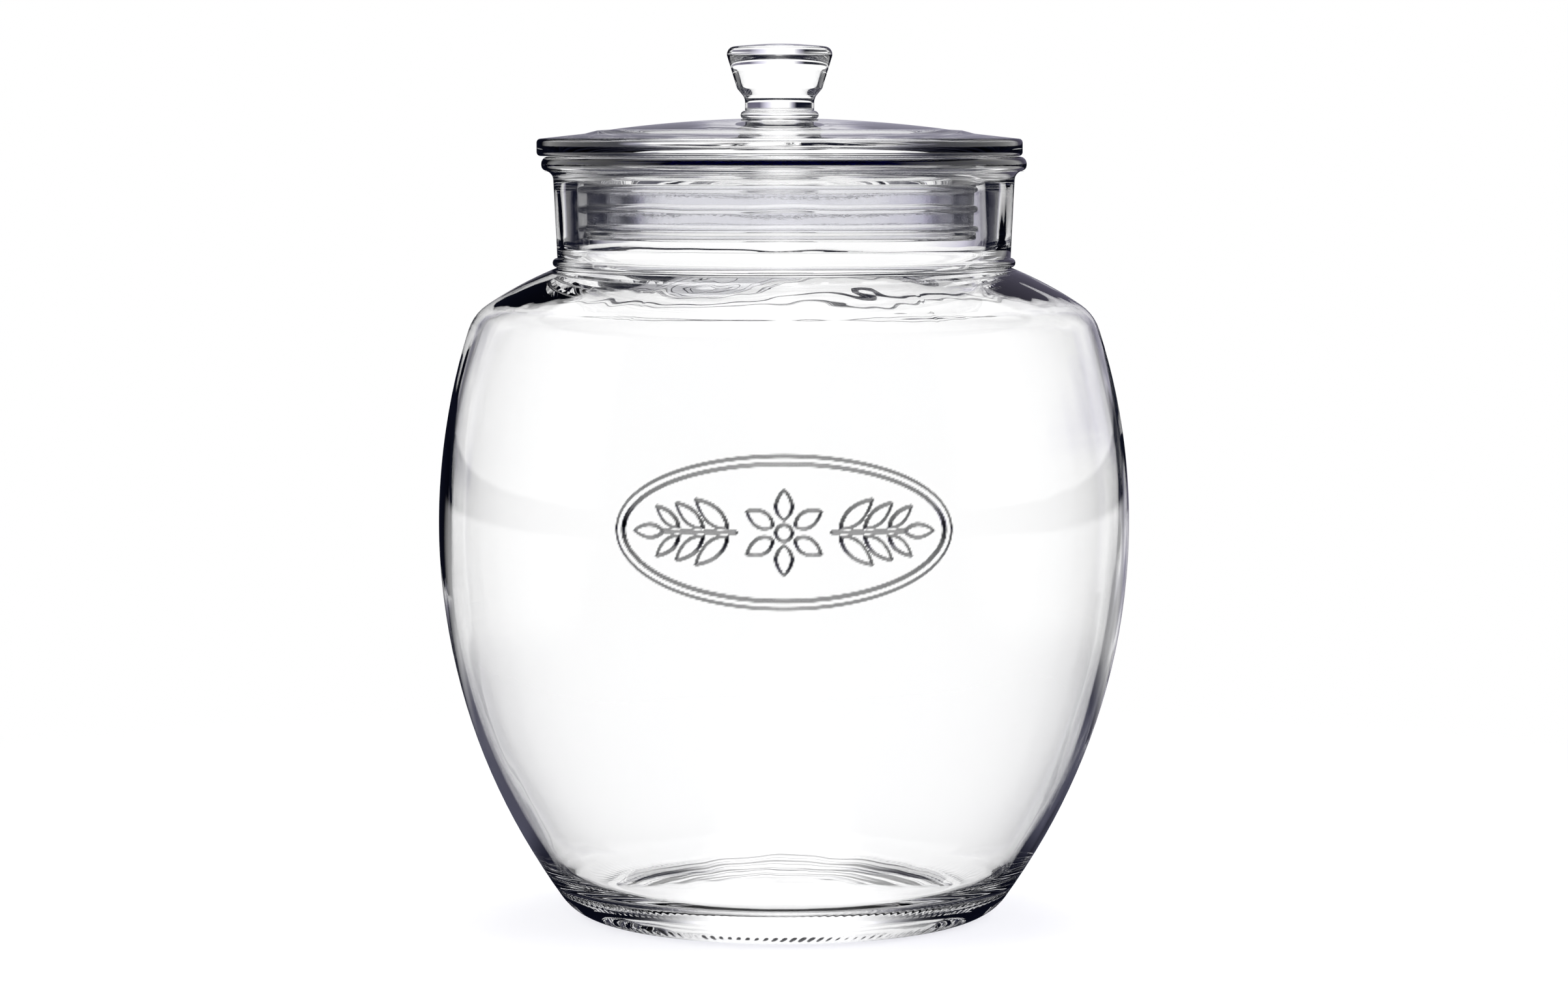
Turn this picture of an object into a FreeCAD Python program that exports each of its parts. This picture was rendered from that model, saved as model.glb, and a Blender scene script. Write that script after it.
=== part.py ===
import FreeCAD, Part
import math
import os

import Sketcher

# A glass storage jar of about four litres with a glass lid and a silicone seal.
# Millimetres, +Z up, the origin at the middle of the base, the front towards -Y.
# Sections are drawn in the XZ plane, radius along X, and turned about the Z axis.

SIZES = {
    # The jar's outside
    "belly_radius": (95.0, "Radius of the belly at its widest"),
    "belly_height": (108.2, "Height of the widest place above the base"),
    "lower_flank_radius": (175.3, "Arc from the belly down to the heel"),
    "heel_radius": (13.5, "Arc from the flank round to the bearing face"),
    "bearing_width": (3.0, "Width of the flat ring that the jar stands on"),
    "bearing_round": (3.0, "Arc inside the bearing ring"),
    "punt_depth": (5.0, "Rise of the underside at its middle"),
    "upper_flank_radius": (175.5, "Arc from the belly up to the shoulder's corner"),
    "flank_lean": (17.7, "Lean of the flank where the corner begins, in degrees"),
    "corner_radius": (13.0, "Arc of the shoulder's corner"),
    "shoulder_slope": (34.0, "Fall of the shoulder where the corner ends, in degrees"),
    "shoulder_radius": (102.0, "Arc of the shoulder up to the neck"),
    "neck_radius": (62.3, "Radius of the neck at its foot"),
    "neck_flare": (1.1, "How much wider the neck is under the flange"),
    "neck_height": (26.4, "From the neck's foot to the flange"),
    "neck_ring": (1.3, "Section radius of the raised ring at the neck's foot"),
    "flange_reach": (4.25, "How far the flange stands out from the neck's foot"),
    "flange_thickness": (3.95, "Thickness of the flange"),
    "flange_fillet": (2.5, "Fillet under the flange"),
    "edge_round": (1.1, "Rounding of the flange's and the lid's outer edges"),
    # The jar's inside
    "wall": (3.0, "Thickness of the flanks and the shoulder"),
    "floor_thickness": (5.5, "Thickness of the floor at its middle"),
    "heel_thickness": (7.5, "Thickness of the floor above the bearing ring"),
    "inner_heel_radius": (20.0, "Arc from the floor up to the flank"),
    "neck_wall": (7.0, "Thickness of the neck at its foot"),
    "bore_round": (6.0, "Arc from the shoulder up into the bore"),
    "mouth_round": (1.0, "Rounding of the mouth's inner edge"),
    # The raised ornament on the front
    "relief": (0.7, "How far the ornament stands out of the belly"),
    "motif_level": (113.8, "Height of the ornament's middle"),
    "motif_width": (90.0, "Width of the ornament's oval frame"),
    "motif_height": (40.0, "Height of the ornament's oval frame"),
    "frame_line": (1.3, "Width of the frame's raised line"),
    "leaf_length": (10.5, "Length of a leaf"),
    "leaf_width": (3.8, "Width of a leaf"),
    "leaf_lean": (38.0, "Lean of a leaf from its stem, in degrees"),
    "stem_width": (1.2, "Width of a stem"),
    "flower_radius": (8.0, "Reach of the flower's petals"),
    # The lid
    "lid_shift": (1.2, "How far the lid lies towards -X in its play in the mouth"),
    "rim_overhang": (0.05, "How far the lid's rim stands out past the flange"),
    "rim_thickness": (4.75, "Height of the lid's rim"),
    "slope_rise": (1.45, "Rise of the lid's top from the rim to the bevel"),
    "dome_radius": (46.5, "Radius of the raised dome"),
    "shelf_width": (3.5, "Width of the nearly flat shelf round the dome"),
    "shelf_drop": (0.2, "Fall of the shelf"),
    "bevel_width": (3.5, "Width of the bevel round the shelf"),
    "bevel_drop": (0.9, "Fall of the bevel"),
    "dome_height": (10.4, "Height of the dome's middle above the flange"),
    "ceiling_height": (2.6, "Height of the plug's hollow above the flange"),
    "ceiling_fillet": (4.0, "Fillet of the plug's hollow"),
    "plug_clearance": (1.8, "Gap between the plug and the bore"),
    "plug_depth": (22.2, "How deep the plug reaches below the flange"),
    "plug_root": (1.2, "Fillet where the plug meets the rim"),
    "skirt_wall": (4.0, "Thickness of the plug behind the seal"),
    "skirt_round": (1.0, "Rounding of the plug's lower edges"),
    # The knob
    "knob_height": (30.7, "Height of the knob's top above the flange"),
    "knob_radius": (14.4, "Radius of the knob at its head"),
    "knob_crown": (112.0, "Arc of the knob's top"),
    "knob_edge": (2.2, "Rounding of the knob's head"),
    "cheek_lean": (13.2, "Lean of the knob's cheek, in degrees"),
    "cheek_round": (2.5, "Rounding under the cheek"),
    "flare_radius": (5.5, "Arc from the waist out to the cheek"),
    "waist_radius": (9.5, "Radius of the knob's waist"),
    "waist_height": (15.0, "Height of the waist's upper end above the flange"),
    "knob_ring": (1.2, "Section radius of the ring round the knob's foot"),
    "knob_ring_rise": (0.85, "Height of that ring above the dome's middle"),
    "knob_root": (2.0, "How deep the knob's foot runs into the dome"),
    # The seal
    "groove_depth": (2.0, "Depth of the seal's groove in the plug"),
    "groove_bead": (2.5, "Height of the bead below the groove"),
    "seal_height": (12.5, "Height of the seal and of its groove"),
    "seal_wall": (1.4, "Thickness of the seal between its lips"),
    "seal_clearance": (1.3, "Gap between the seal's lips and the bore"),
    "lip_round": (0.8, "Section radius of a lip"),
}
LIP_COUNT = 3
LEAF_PAIRS = 4
PETAL_COUNT = 8

BORE = "neck_radius - neck_wall"
PLUG = BORE + " - plug_clearance"
GROOVE = PLUG + " - groove_depth"
SKIRT = GROOVE + " - skirt_wall"
RIM = "neck_radius + flange_reach + rim_overhang"

ORIGIN = (-1, 1)
X_AXIS = -1
Z_AXIS = -2
START, END, CENTRE = 1, 2, 3
UPRIGHT = FreeCAD.Rotation(FreeCAD.Vector(1, 0, 0), 90)

doc = FreeCAD.newDocument("StorageJar")


class Values:
    """The sizes as plain numbers, for the first drawing of each outline."""


def make_sheet():
    """Write every size into the spreadsheet and hand back the numbers."""
    sheet = doc.addObject("Spreadsheet::Sheet", "Sizes")
    numbers = Values()
    for row, (name, (number, meaning)) in enumerate(SIZES.items(), start=1):
        sheet.set(f"A{row}", meaning)
        sheet.set(f"B{row}", str(number))
        sheet.setAlias(f"B{row}", name)
        setattr(numbers, name, number)
    doc.recompute()
    return numbers


def formula(text):
    """A sum of the sizes' names as an expression that reads the sheet."""
    words = text.replace("(", "( ").replace(")", " )").split(" ")
    return " ".join(f"Sizes.{word}" if word in SIZES else word for word in words)


def bind(thing, prop, text):
    """Bind one property of an object to a sum of the sizes."""
    thing.setExpression(prop, formula(text))


def round_the_point(centre, radius, angle):
    """The point at an angle, in degrees, on a circle."""
    turn = math.radians(angle)
    return (centre[0] + radius * math.cos(turn), centre[1] + radius * math.sin(turn))


def angle_from(centre, point):
    """The direction from one point to another, in degrees."""
    return math.degrees(math.atan2(point[1] - centre[1], point[0] - centre[0]))


class Outline:
    """A closed outline in a sketch: legs and arcs joined end to end."""

    def __init__(self, name, body=None):
        if body:
            self.sketch = body.newObject("Sketcher::SketchObject", name)
            planes = [part for part in body.Origin.OriginFeatures if part.Role == "XZ_Plane"]
            self.sketch.AttachmentSupport = (planes[0], [""])
            self.sketch.MapMode = "FlatFace"
        else:
            self.sketch = doc.addObject("Sketcher::SketchObject", name)
            self.sketch.Placement = FreeCAD.Placement(FreeCAD.Vector(), UPRIGHT)
        self.pieces = []

    def rule(self, *words):
        """Add one constraint and give its number."""
        return self.sketch.addConstraint(Sketcher.Constraint(*words))

    def add(self, curve, start, end, smooth):
        """Add a curve after the last one, tangent to it where the joint is smooth."""
        piece = (self.sketch.addGeometry(curve, False), start, end)
        if self.pieces:
            last = self.pieces[-1]
            self.rule("Tangent" if smooth else "Coincident", last[0], last[2], piece[0], start)
        self.pieces.append(piece)
        return piece[0]

    def leg(self, start, end, smooth=False):
        """A straight leg."""
        line = Part.LineSegment(FreeCAD.Vector(*start, 0), FreeCAD.Vector(*end, 0))
        return self.add(line, START, END, smooth)

    def arc(self, centre, radius, first, last, smooth=True):
        """An arc from the first angle to the last, either way round, in degrees."""
        circle = Part.Circle(FreeCAD.Vector(*centre, 0), FreeCAD.Vector(0, 0, 1), radius)
        low, high = sorted((math.radians(first), math.radians(last)))
        ends = (START, END) if first < last else (END, START)
        return self.add(Part.ArcOfCircle(circle, low, high), *ends, smooth)

    def close(self):
        """Join the last piece to the first."""
        first, last = self.pieces[0], self.pieces[-1]
        self.rule("Coincident", last[0], last[2], first[0], first[1])

    def name_rule(self, number, name):
        self.sketch.renameConstraint(number, name)

    def size(self, name, text, *words):
        """A constraint whose value is a sum of the sizes."""
        number = self.rule(*words)
        self.name_rule(number, name)
        bind(self.sketch, f"Constraints.{name}", text)

    def out(self, name, text, piece, end=START):
        """Set how far a point of a piece is from the axis."""
        point = self.sketch.getPoint(piece, end)
        self.size(name, text, "DistanceX", *ORIGIN, piece, end, point.x)

    def up(self, name, text, piece, end=START):
        """Set how high a point of a piece is."""
        point = self.sketch.getPoint(piece, end)
        self.size(name, text, "DistanceY", *ORIGIN, piece, end, point.y)

    def below(self, name, text, piece, end=START):
        """Set how far a point of a piece is below the sketch's origin."""
        point = self.sketch.getPoint(piece, end)
        self.size(name, text, "DistanceY", piece, end, *ORIGIN, -point.y)

    def radius(self, name, text, piece):
        """Set an arc's radius."""
        self.size(name, text, "Radius", piece, self.sketch.Geometry[piece].Radius)

    def level(self, *pieces):
        for piece in pieces:
            self.rule("Horizontal", piece)

    def upright(self, *pieces):
        for piece in pieces:
            self.rule("Vertical", piece)

    def on_axis(self, piece, end):
        self.rule("PointOnObject", piece, end, Z_AXIS)

    def spoke(self, name, text, arc, degrees):
        """Set the direction from an arc's centre to its end by a construction line."""
        centre = self.sketch.getPoint(arc, CENTRE)
        end = self.sketch.getPoint(arc, END)
        line = self.sketch.addGeometry(Part.LineSegment(centre, end), True)
        self.rule("Coincident", line, START, arc, CENTRE)
        self.rule("Coincident", line, END, arc, END)
        self.size(name, text, "Angle", line, math.radians(degrees))

    def measure(self, name, *words):
        """A reference dimension that other pieces read."""
        number = self.rule(*words)
        self.name_rule(number, name)
        self.sketch.setDriving(number, False)


def domed_radius(reach, rise, corner):
    """Radius of a dome on the axis that runs smoothly into a corner arc.

    The corner's centre is reach from the axis and rise above the dome's top.
    """
    return (reach ** 2 + rise ** 2 - corner ** 2) / (2 * (corner - rise))


def flank_centres(s):
    """Centres of the lower flank, the upper flank, the corner and the shoulder."""
    lower = (s.belly_radius - s.lower_flank_radius, s.belly_height)
    upper = (s.belly_radius - s.upper_flank_radius, s.belly_height)
    corner = round_the_point(upper, s.upper_flank_radius - s.corner_radius, s.flank_lean)
    back = s.corner_radius - s.shoulder_radius
    shoulder = round_the_point(corner, back, 90 - s.shoulder_slope)
    return lower, upper, corner, shoulder


def draw_flanks(outline, s, inset, heel_centre, last):
    """The arcs from the heel's end to the neck, set in from the outside by a wall."""
    depth = getattr(s, inset) if inset else 0.0
    less = f" - {inset}" if inset else ""
    lower, upper, corner, shoulder = flank_centres(s)
    heel_end = angle_from(lower, heel_centre)
    turns = (
        ("lower_flank", lower, s.lower_flank_radius, heel_end, 0.0),
        ("upper_flank", upper, s.upper_flank_radius, 0.0, s.flank_lean),
        ("corner", corner, s.corner_radius, s.flank_lean, 90 - s.shoulder_slope),
        ("shoulder", shoulder, s.shoulder_radius, 90 - s.shoulder_slope, last),
    )
    arcs = {}
    for name, centre, radius, first, end in turns:
        arcs[name] = outline.arc(centre, radius - depth, first, end)
        outline.radius(f"{name}_arc", f"{name}_radius{less}", arcs[name])
    outline.rule("Horizontal", arcs["lower_flank"], CENTRE, arcs["lower_flank"], END)
    outline.out("belly_out", f"belly_radius{less}", arcs["lower_flank"], END)
    outline.up("belly_up", "belly_height", arcs["lower_flank"], END)
    outline.spoke("lean", "flank_lean", arcs["upper_flank"], s.flank_lean)
    outline.spoke("slope", "90 - shoulder_slope", arcs["corner"], 90 - s.shoulder_slope)
    return arcs


def draw_outside(s):
    """The half-section of the jar as if it were solid."""
    outline = Outline("jar_outside")
    lower, upper, corner, shoulder = flank_centres(s)
    drop = s.heel_radius - s.belly_height
    run = math.sqrt((s.lower_flank_radius - s.heel_radius) ** 2 - drop ** 2)
    heel_centre = (lower[0] + run, s.heel_radius)
    foot = heel_centre[0] - s.bearing_width
    punt_radius = domed_radius(foot, s.bearing_round - s.punt_depth, s.bearing_round)
    punt_centre = (0.0, s.punt_depth - punt_radius)
    joint = angle_from(punt_centre, (foot, s.bearing_round))
    punt = outline.arc(punt_centre, punt_radius, 90, joint)
    inner = outline.arc((foot, s.bearing_round), s.bearing_round, joint - 180, -90)
    bearing = outline.leg((foot, 0), (heel_centre[0], 0), smooth=True)
    heel = outline.arc(heel_centre, s.heel_radius, -90, angle_from(lower, heel_centre))
    outline.on_axis(punt, CENTRE)
    outline.on_axis(punt, END)
    outline.up("punt_up", "punt_depth", punt, END)
    outline.radius("bearing_arc", "bearing_round", inner)
    outline.rule("PointOnObject", bearing, START, X_AXIS)
    outline.rule("PointOnObject", bearing, END, X_AXIS)
    outline.size("bearing_run", "bearing_width", "Distance", bearing, s.bearing_width)
    outline.radius("heel_arc", "heel_radius", heel)
    foot_angle = math.degrees(math.acos((s.neck_radius - shoulder[0]) / s.shoulder_radius))
    flanks = draw_flanks(outline, s, "", heel_centre, foot_angle)

    foot_point = round_the_point(shoulder, s.shoulder_radius, foot_angle)
    neck_top = s.neck_radius + s.neck_flare
    under = foot_point[1] + s.neck_height
    top = under + s.flange_thickness
    reach = s.neck_radius + s.flange_reach
    edge = s.edge_round
    fillet = s.flange_fillet
    neck = outline.leg(foot_point, (neck_top, under - fillet))
    curve = outline.arc((neck_top + fillet, under - fillet), fillet, 180, 90)
    underside = outline.leg((neck_top + fillet, under), (reach - edge, under), smooth=True)
    low_edge = outline.arc((reach - edge, under + edge), edge, -90, 0)
    side = outline.leg((reach, under + edge), (reach, top - edge), smooth=True)
    high_edge = outline.arc((reach - edge, top - edge), edge, 0, 90)
    face = outline.leg((reach - edge, top), (0, top), smooth=True)
    outline.leg((0, top), (0, s.punt_depth))
    outline.close()
    outline.out("neck_out", "neck_radius", neck, START)
    outline.out("neck_top_out", "neck_radius + neck_flare", neck, END)
    outline.radius("flange_curve", "flange_fillet", curve)
    outline.level(underside, face)
    outline.upright(side)
    outline.on_axis(face, END)
    outline.size("neck_up", "neck_height", "DistanceY", neck, START, underside, START, s.neck_height)
    outline.radius("low_edge", "edge_round", low_edge)
    outline.radius("high_edge", "edge_round", high_edge)
    outline.out("flange_out", "neck_radius + flange_reach", side, START)
    outline.size("flange_up", "flange_thickness", "DistanceY", underside, START, face, START,
                 s.flange_thickness)
    outline.measure("foot_height", "DistanceY", *ORIGIN, flanks["shoulder"], END, foot_point[1])
    outline.measure("mouth_height", "DistanceY", *ORIGIN, face, START, top)
    return outline.sketch


def draw_inside(s, outside):
    """The half-section of the hollow, running out past the mouth."""
    outline = Outline("jar_inside")
    lower, upper, corner, shoulder = flank_centres(s)
    bore = s.neck_radius - s.neck_wall
    round_out = bore + s.bore_round
    reach = s.shoulder_radius - s.wall + s.bore_round
    rise = math.sqrt(reach ** 2 - (round_out - shoulder[0]) ** 2)
    round_centre = (round_out, shoulder[1] + rise)
    top = outside.getDatum("mouth_height").Value
    floor_top = s.punt_depth + s.floor_thickness
    heel_up = s.heel_thickness + s.inner_heel_radius
    span = s.lower_flank_radius - s.wall - s.inner_heel_radius
    heel_out = lower[0] + math.sqrt(span ** 2 - (s.belly_height - heel_up) ** 2)
    floor_radius = domed_radius(heel_out, heel_up - floor_top, s.inner_heel_radius)
    floor_centre = (0.0, floor_top - floor_radius)
    joint = angle_from(floor_centre, (heel_out, heel_up))
    heel_end = angle_from(lower, (heel_out, heel_up))
    meet = angle_from(shoulder, round_centre)
    mouth = s.mouth_round

    floor = outline.arc(floor_centre, floor_radius, 90, joint)
    heel = outline.arc((heel_out, heel_up), s.inner_heel_radius, joint - 180, heel_end)
    outline.on_axis(floor, CENTRE)
    outline.on_axis(floor, END)
    outline.up("floor_up", "punt_depth + floor_thickness", floor, END)
    outline.radius("heel_arc", "inner_heel_radius", heel)
    outline.up("heel_up", "heel_thickness + inner_heel_radius", heel, CENTRE)
    draw_flanks(outline, s, "wall", (heel_out, heel_up), meet)
    curve = outline.arc(round_centre, s.bore_round, meet + 180, 180)
    bore_leg = outline.leg((bore, round_centre[1]), (bore, top - mouth), smooth=True)
    lip = outline.arc((bore + mouth, top - mouth), mouth, 180, 90)
    above = outline.leg((bore + mouth, top), (bore + mouth, top + mouth))
    across = outline.leg((bore + mouth, top + mouth), (0, top + mouth))
    outline.leg((0, top + mouth), (0, floor_top))
    outline.close()
    outline.radius("bore_curve", "bore_round", curve)
    outline.upright(bore_leg, above)
    outline.out("bore_out", BORE, bore_leg, START)
    outline.radius("mouth_curve", "mouth_round", lip)
    outline.rule("Vertical", lip, CENTRE, lip, START)
    outline.level(across)
    outline.on_axis(across, END)
    outline.size("above_up", "mouth_round", "DistanceY", above, START, above, END, mouth)
    number = outline.rule("DistanceY", *ORIGIN, above, START, top)
    outline.name_rule(number, "mouth_up")
    outline.sketch.setExpression("Constraints.mouth_up", "jar_outside.Constraints.mouth_height")
    return outline.sketch


def draw_skin(s):
    """The half-section of the belly, thicker by the ornament's relief."""
    outline = Outline("ornament_skin")
    lower, upper = flank_centres(s)[:2]
    low = s.motif_level - s.motif_height
    high = s.motif_level + s.motif_height
    lower_radius = s.lower_flank_radius + s.relief
    upper_radius = s.upper_flank_radius + s.relief
    first = -math.degrees(math.asin((s.belly_height - low) / lower_radius))
    last = math.degrees(math.asin((high - s.belly_height) / upper_radius))
    start = round_the_point(lower, lower_radius, first)
    end = round_the_point(upper, upper_radius, last)
    under = outline.leg((0, low), start)
    below = outline.arc(lower, lower_radius, first, 0, smooth=False)
    above = outline.arc(upper, upper_radius, 0, last)
    over = outline.leg(end, (0, high))
    outline.leg((0, high), (0, low))
    outline.close()
    outline.level(under, over)
    outline.on_axis(under, START)
    outline.on_axis(over, END)
    outline.up("low_up", "motif_level - motif_height", under, START)
    outline.up("high_up", "motif_level + motif_height", over, END)
    outline.radius("lower_arc", "lower_flank_radius + relief", below)
    outline.radius("upper_arc", "upper_flank_radius + relief", above)
    outline.out("belly_out", "belly_radius + relief", below, END)
    outline.up("belly_up", "belly_height", below, END)
    outline.rule("Horizontal", below, CENTRE, below, END)
    return outline.sketch


def leaf_edges(base, direction, length, width):
    """The two arcs of a pointed leaf that starts at base and points in a direction."""
    tip = round_the_point(base, length, direction)
    middle = round_the_point(base, length / 2, direction)
    edges = []
    for side in (90, -90):
        bulge = round_the_point(middle, width / 2, direction + side)
        points = [FreeCAD.Vector(*point, 0) for point in (base, bulge, tip)]
        edges.append(Part.Arc(*points))
    return edges


def draw_ornament(s):
    """An oval frame round a flower, with a leafy spray on either side of it."""
    sketch = doc.addObject("Sketcher::SketchObject", "ornament_lines")
    half_width = s.motif_width / 2
    half_height = s.motif_height / 2
    for inset in (0.0, s.frame_line):
        oval = Part.Ellipse(FreeCAD.Vector(0, 0, 0), half_width - inset, half_height - inset)
        sketch.addGeometry(oval, False)
    for number in range(PETAL_COUNT):
        direction = 360 / PETAL_COUNT * (number + 0.5)
        base = round_the_point((0, 0), s.flower_radius * 0.3, direction)
        reach = s.flower_radius * 0.7
        for edge in leaf_edges(base, direction, reach, s.flower_radius * 0.42):
            sketch.addGeometry(edge, False)
    stem_start = s.flower_radius + s.stem_width
    stem_end = half_width - s.frame_line - s.leaf_length
    pitch = (stem_end - stem_start) / LEAF_PAIRS
    for side, heading in ((1, 0), (-1, 180)):
        corners = ((stem_start, -1), (stem_end, -1), (stem_end, 1), (stem_start, 1))
        corners = [FreeCAD.Vector(side * x, z * s.stem_width / 2, 0) for x, z in corners]
        for first, second in zip(corners, corners[1:] + corners[:1]):
            sketch.addGeometry(Part.LineSegment(first, second), False)
        for number in range(LEAF_PAIRS):
            out = stem_start + pitch * (number + 0.5)
            for lean in (s.leaf_lean, -s.leaf_lean):
                rise = math.copysign(s.stem_width, lean)
                direction = heading + side * lean
                for edge in leaf_edges((side * out, rise), direction, s.leaf_length, s.leaf_width):
                    sketch.addGeometry(edge, False)
        tip = (side * (stem_end + s.stem_width / 2), 0)
        for edge in leaf_edges(tip, heading, s.leaf_length * 0.8, s.leaf_width):
            sketch.addGeometry(edge, False)
    sketch.Placement.Rotation = UPRIGHT
    bind(sketch, "Placement.Base.y", "0 - belly_radius - wall")
    bind(sketch, "Placement.Base.z", "motif_level")
    return sketch


def turned(name, sketch):
    """A sketch turned once about the Z axis, as a solid."""
    solid = doc.addObject("Part::Revolution", name)
    solid.Source = sketch
    solid.Axis = FreeCAD.Vector(0, 0, 1)
    solid.Base = FreeCAD.Vector(0, 0, 0)
    solid.Angle = 360
    solid.Solid = True
    return solid


def make_jar(s):
    """The jar: its outside with ring and ornament, less its hollow."""
    outside = draw_outside(s)
    doc.recompute()
    inside = draw_inside(s, outside)
    body = turned("jar_solid", outside)
    ring = doc.addObject("Part::Torus", "neck_foot_ring")
    bind(ring, "Radius1", "neck_radius")
    bind(ring, "Radius2", "neck_ring")
    ring.setExpression("Placement.Base.z", "jar_outside.Constraints.foot_height + Sizes.neck_ring * 1 mm")
    skin = turned("ornament_belly", draw_skin(s))
    lines = doc.addObject("Part::Extrusion", "ornament_prism")
    lines.Base = draw_ornament(s)
    lines.DirMode = "Custom"
    lines.Dir = FreeCAD.Vector(0, 1, 0)
    lines.Solid = True
    lines.FaceMakerClass = "Part::FaceMakerBullseye"
    bind(lines, "LengthFwd", "belly_radius / 2")
    relief = doc.addObject("Part::Common", "ornament")
    relief.Base = lines
    relief.Tool = skin
    whole = doc.addObject("Part::MultiFuse", "jar_whole")
    whole.Shapes = [body, ring, relief]
    jar = doc.addObject("Part::Cut", "jar_cut")
    jar.Label = "jar"
    jar.Base = whole
    jar.Tool = turned("jar_hollow", inside)
    return jar


def draw_plate(body, s):
    """The half-section of the lid's plate and plug, its seat on the flange at height 0."""
    outline = Outline("lid_section", body)
    plug = s.neck_radius - s.neck_wall - s.plug_clearance
    groove = plug - s.groove_depth
    skirt = groove - s.skirt_wall
    rim = s.neck_radius + s.flange_reach + s.rim_overhang
    ceiling, fillet = s.ceiling_height, s.ceiling_fillet
    bottom, edge = -s.plug_depth, s.skirt_round
    groove_low = bottom + s.groove_bead
    groove_high = groove_low + s.seal_height
    root, rim_edge = s.plug_root, s.edge_round
    shelf = s.dome_radius + s.shelf_width
    bevel = shelf + s.bevel_width
    bevel_up = s.rim_thickness + s.slope_rise
    shelf_up = bevel_up + s.bevel_drop
    dome_edge = shelf_up + s.shelf_drop
    sag = s.dome_height - dome_edge
    dome = (s.dome_radius ** 2 + sag ** 2) / (2 * sag)

    roof = outline.leg((0, ceiling), (skirt - fillet, ceiling))
    roof_curve = outline.arc((skirt - fillet, ceiling - fillet), fillet, 90, 0)
    inner = outline.leg((skirt, ceiling - fillet), (skirt, bottom + edge), smooth=True)
    inner_edge = outline.arc((skirt + edge, bottom + edge), edge, 180, 270)
    foot = outline.leg((skirt + edge, bottom), (plug - edge, bottom), smooth=True)
    outer_edge = outline.arc((plug - edge, bottom + edge), edge, -90, 0)
    bead = outline.leg((plug, bottom + edge), (plug, groove_low), smooth=True)
    ledge = outline.leg((plug, groove_low), (groove, groove_low))
    seat = outline.leg((groove, groove_low), (groove, groove_high))
    cap = outline.leg((groove, groove_high), (plug, groove_high))
    wall = outline.leg((plug, groove_high), (plug, -root))
    root_curve = outline.arc((plug + root, -root), root, 180, 90)
    under = outline.leg((plug + root, 0), (rim - rim_edge, 0), smooth=True)
    low_edge = outline.arc((rim - rim_edge, rim_edge), rim_edge, -90, 0)
    side = outline.leg((rim, rim_edge), (rim, s.rim_thickness - rim_edge), smooth=True)
    fall = math.degrees(math.atan2(s.slope_rise, rim - bevel))
    high_edge = outline.arc((rim - rim_edge, s.rim_thickness - rim_edge), rim_edge, 0, 90 - fall)
    start = round_the_point((rim - rim_edge, s.rim_thickness - rim_edge), rim_edge, 90 - fall)
    slope = outline.leg(start, (bevel, bevel_up), smooth=True)
    rise = outline.leg((bevel, bevel_up), (shelf, shelf_up))
    ring = outline.leg((shelf, shelf_up), (s.dome_radius, dome_edge))
    dome_centre = (0, s.dome_height - dome)
    first = angle_from(dome_centre, (s.dome_radius, dome_edge))
    top = outline.arc(dome_centre, dome, first, 90, smooth=False)
    outline.leg((0, s.dome_height), (0, ceiling))
    outline.close()

    outline.level(roof, foot, ledge, cap, under)
    outline.upright(inner, bead, seat, wall, side)
    outline.on_axis(roof, START)
    outline.on_axis(top, CENTRE)
    outline.on_axis(top, END)
    outline.up("roof_up", "ceiling_height", roof, START)
    outline.radius("roof_arc", "ceiling_fillet", roof_curve)
    outline.out("skirt_out", SKIRT, inner, START)
    outline.radius("inner_edge_arc", "skirt_round", inner_edge)
    outline.below("foot_down", "plug_depth", foot, START)
    outline.radius("outer_edge_arc", "skirt_round", outer_edge)
    outline.out("plug_out", PLUG, bead, END)
    outline.below("ledge_down", "plug_depth - groove_bead", ledge, START)
    outline.out("seat_out", GROOVE, seat, START)
    outline.size("seat_up", "seal_height", "DistanceY", seat, START, seat, END, s.seal_height)
    outline.out("wall_out", PLUG, wall, START)
    outline.radius("root_arc", "plug_root", root_curve)
    outline.rule("PointOnObject", under, START, X_AXIS)
    outline.radius("low_edge_arc", "edge_round", low_edge)
    outline.out("rim_out", RIM, side, START)
    outline.radius("high_edge_arc", "edge_round", high_edge)
    outline.up("rim_up", "rim_thickness - edge_round", side, END)
    outline.out("bevel_out", "dome_radius + shelf_width + bevel_width", slope, END)
    outline.up("bevel_up", "rim_thickness + slope_rise", slope, END)
    outline.out("shelf_out", "dome_radius + shelf_width", rise, END)
    outline.up("shelf_up", "rim_thickness + slope_rise + bevel_drop", rise, END)
    outline.out("dome_out", "dome_radius", ring, END)
    outline.up("dome_edge_up", "rim_thickness + slope_rise + bevel_drop + shelf_drop", ring, END)
    outline.up("dome_up", "dome_height", top, END)
    return outline.sketch


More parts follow.
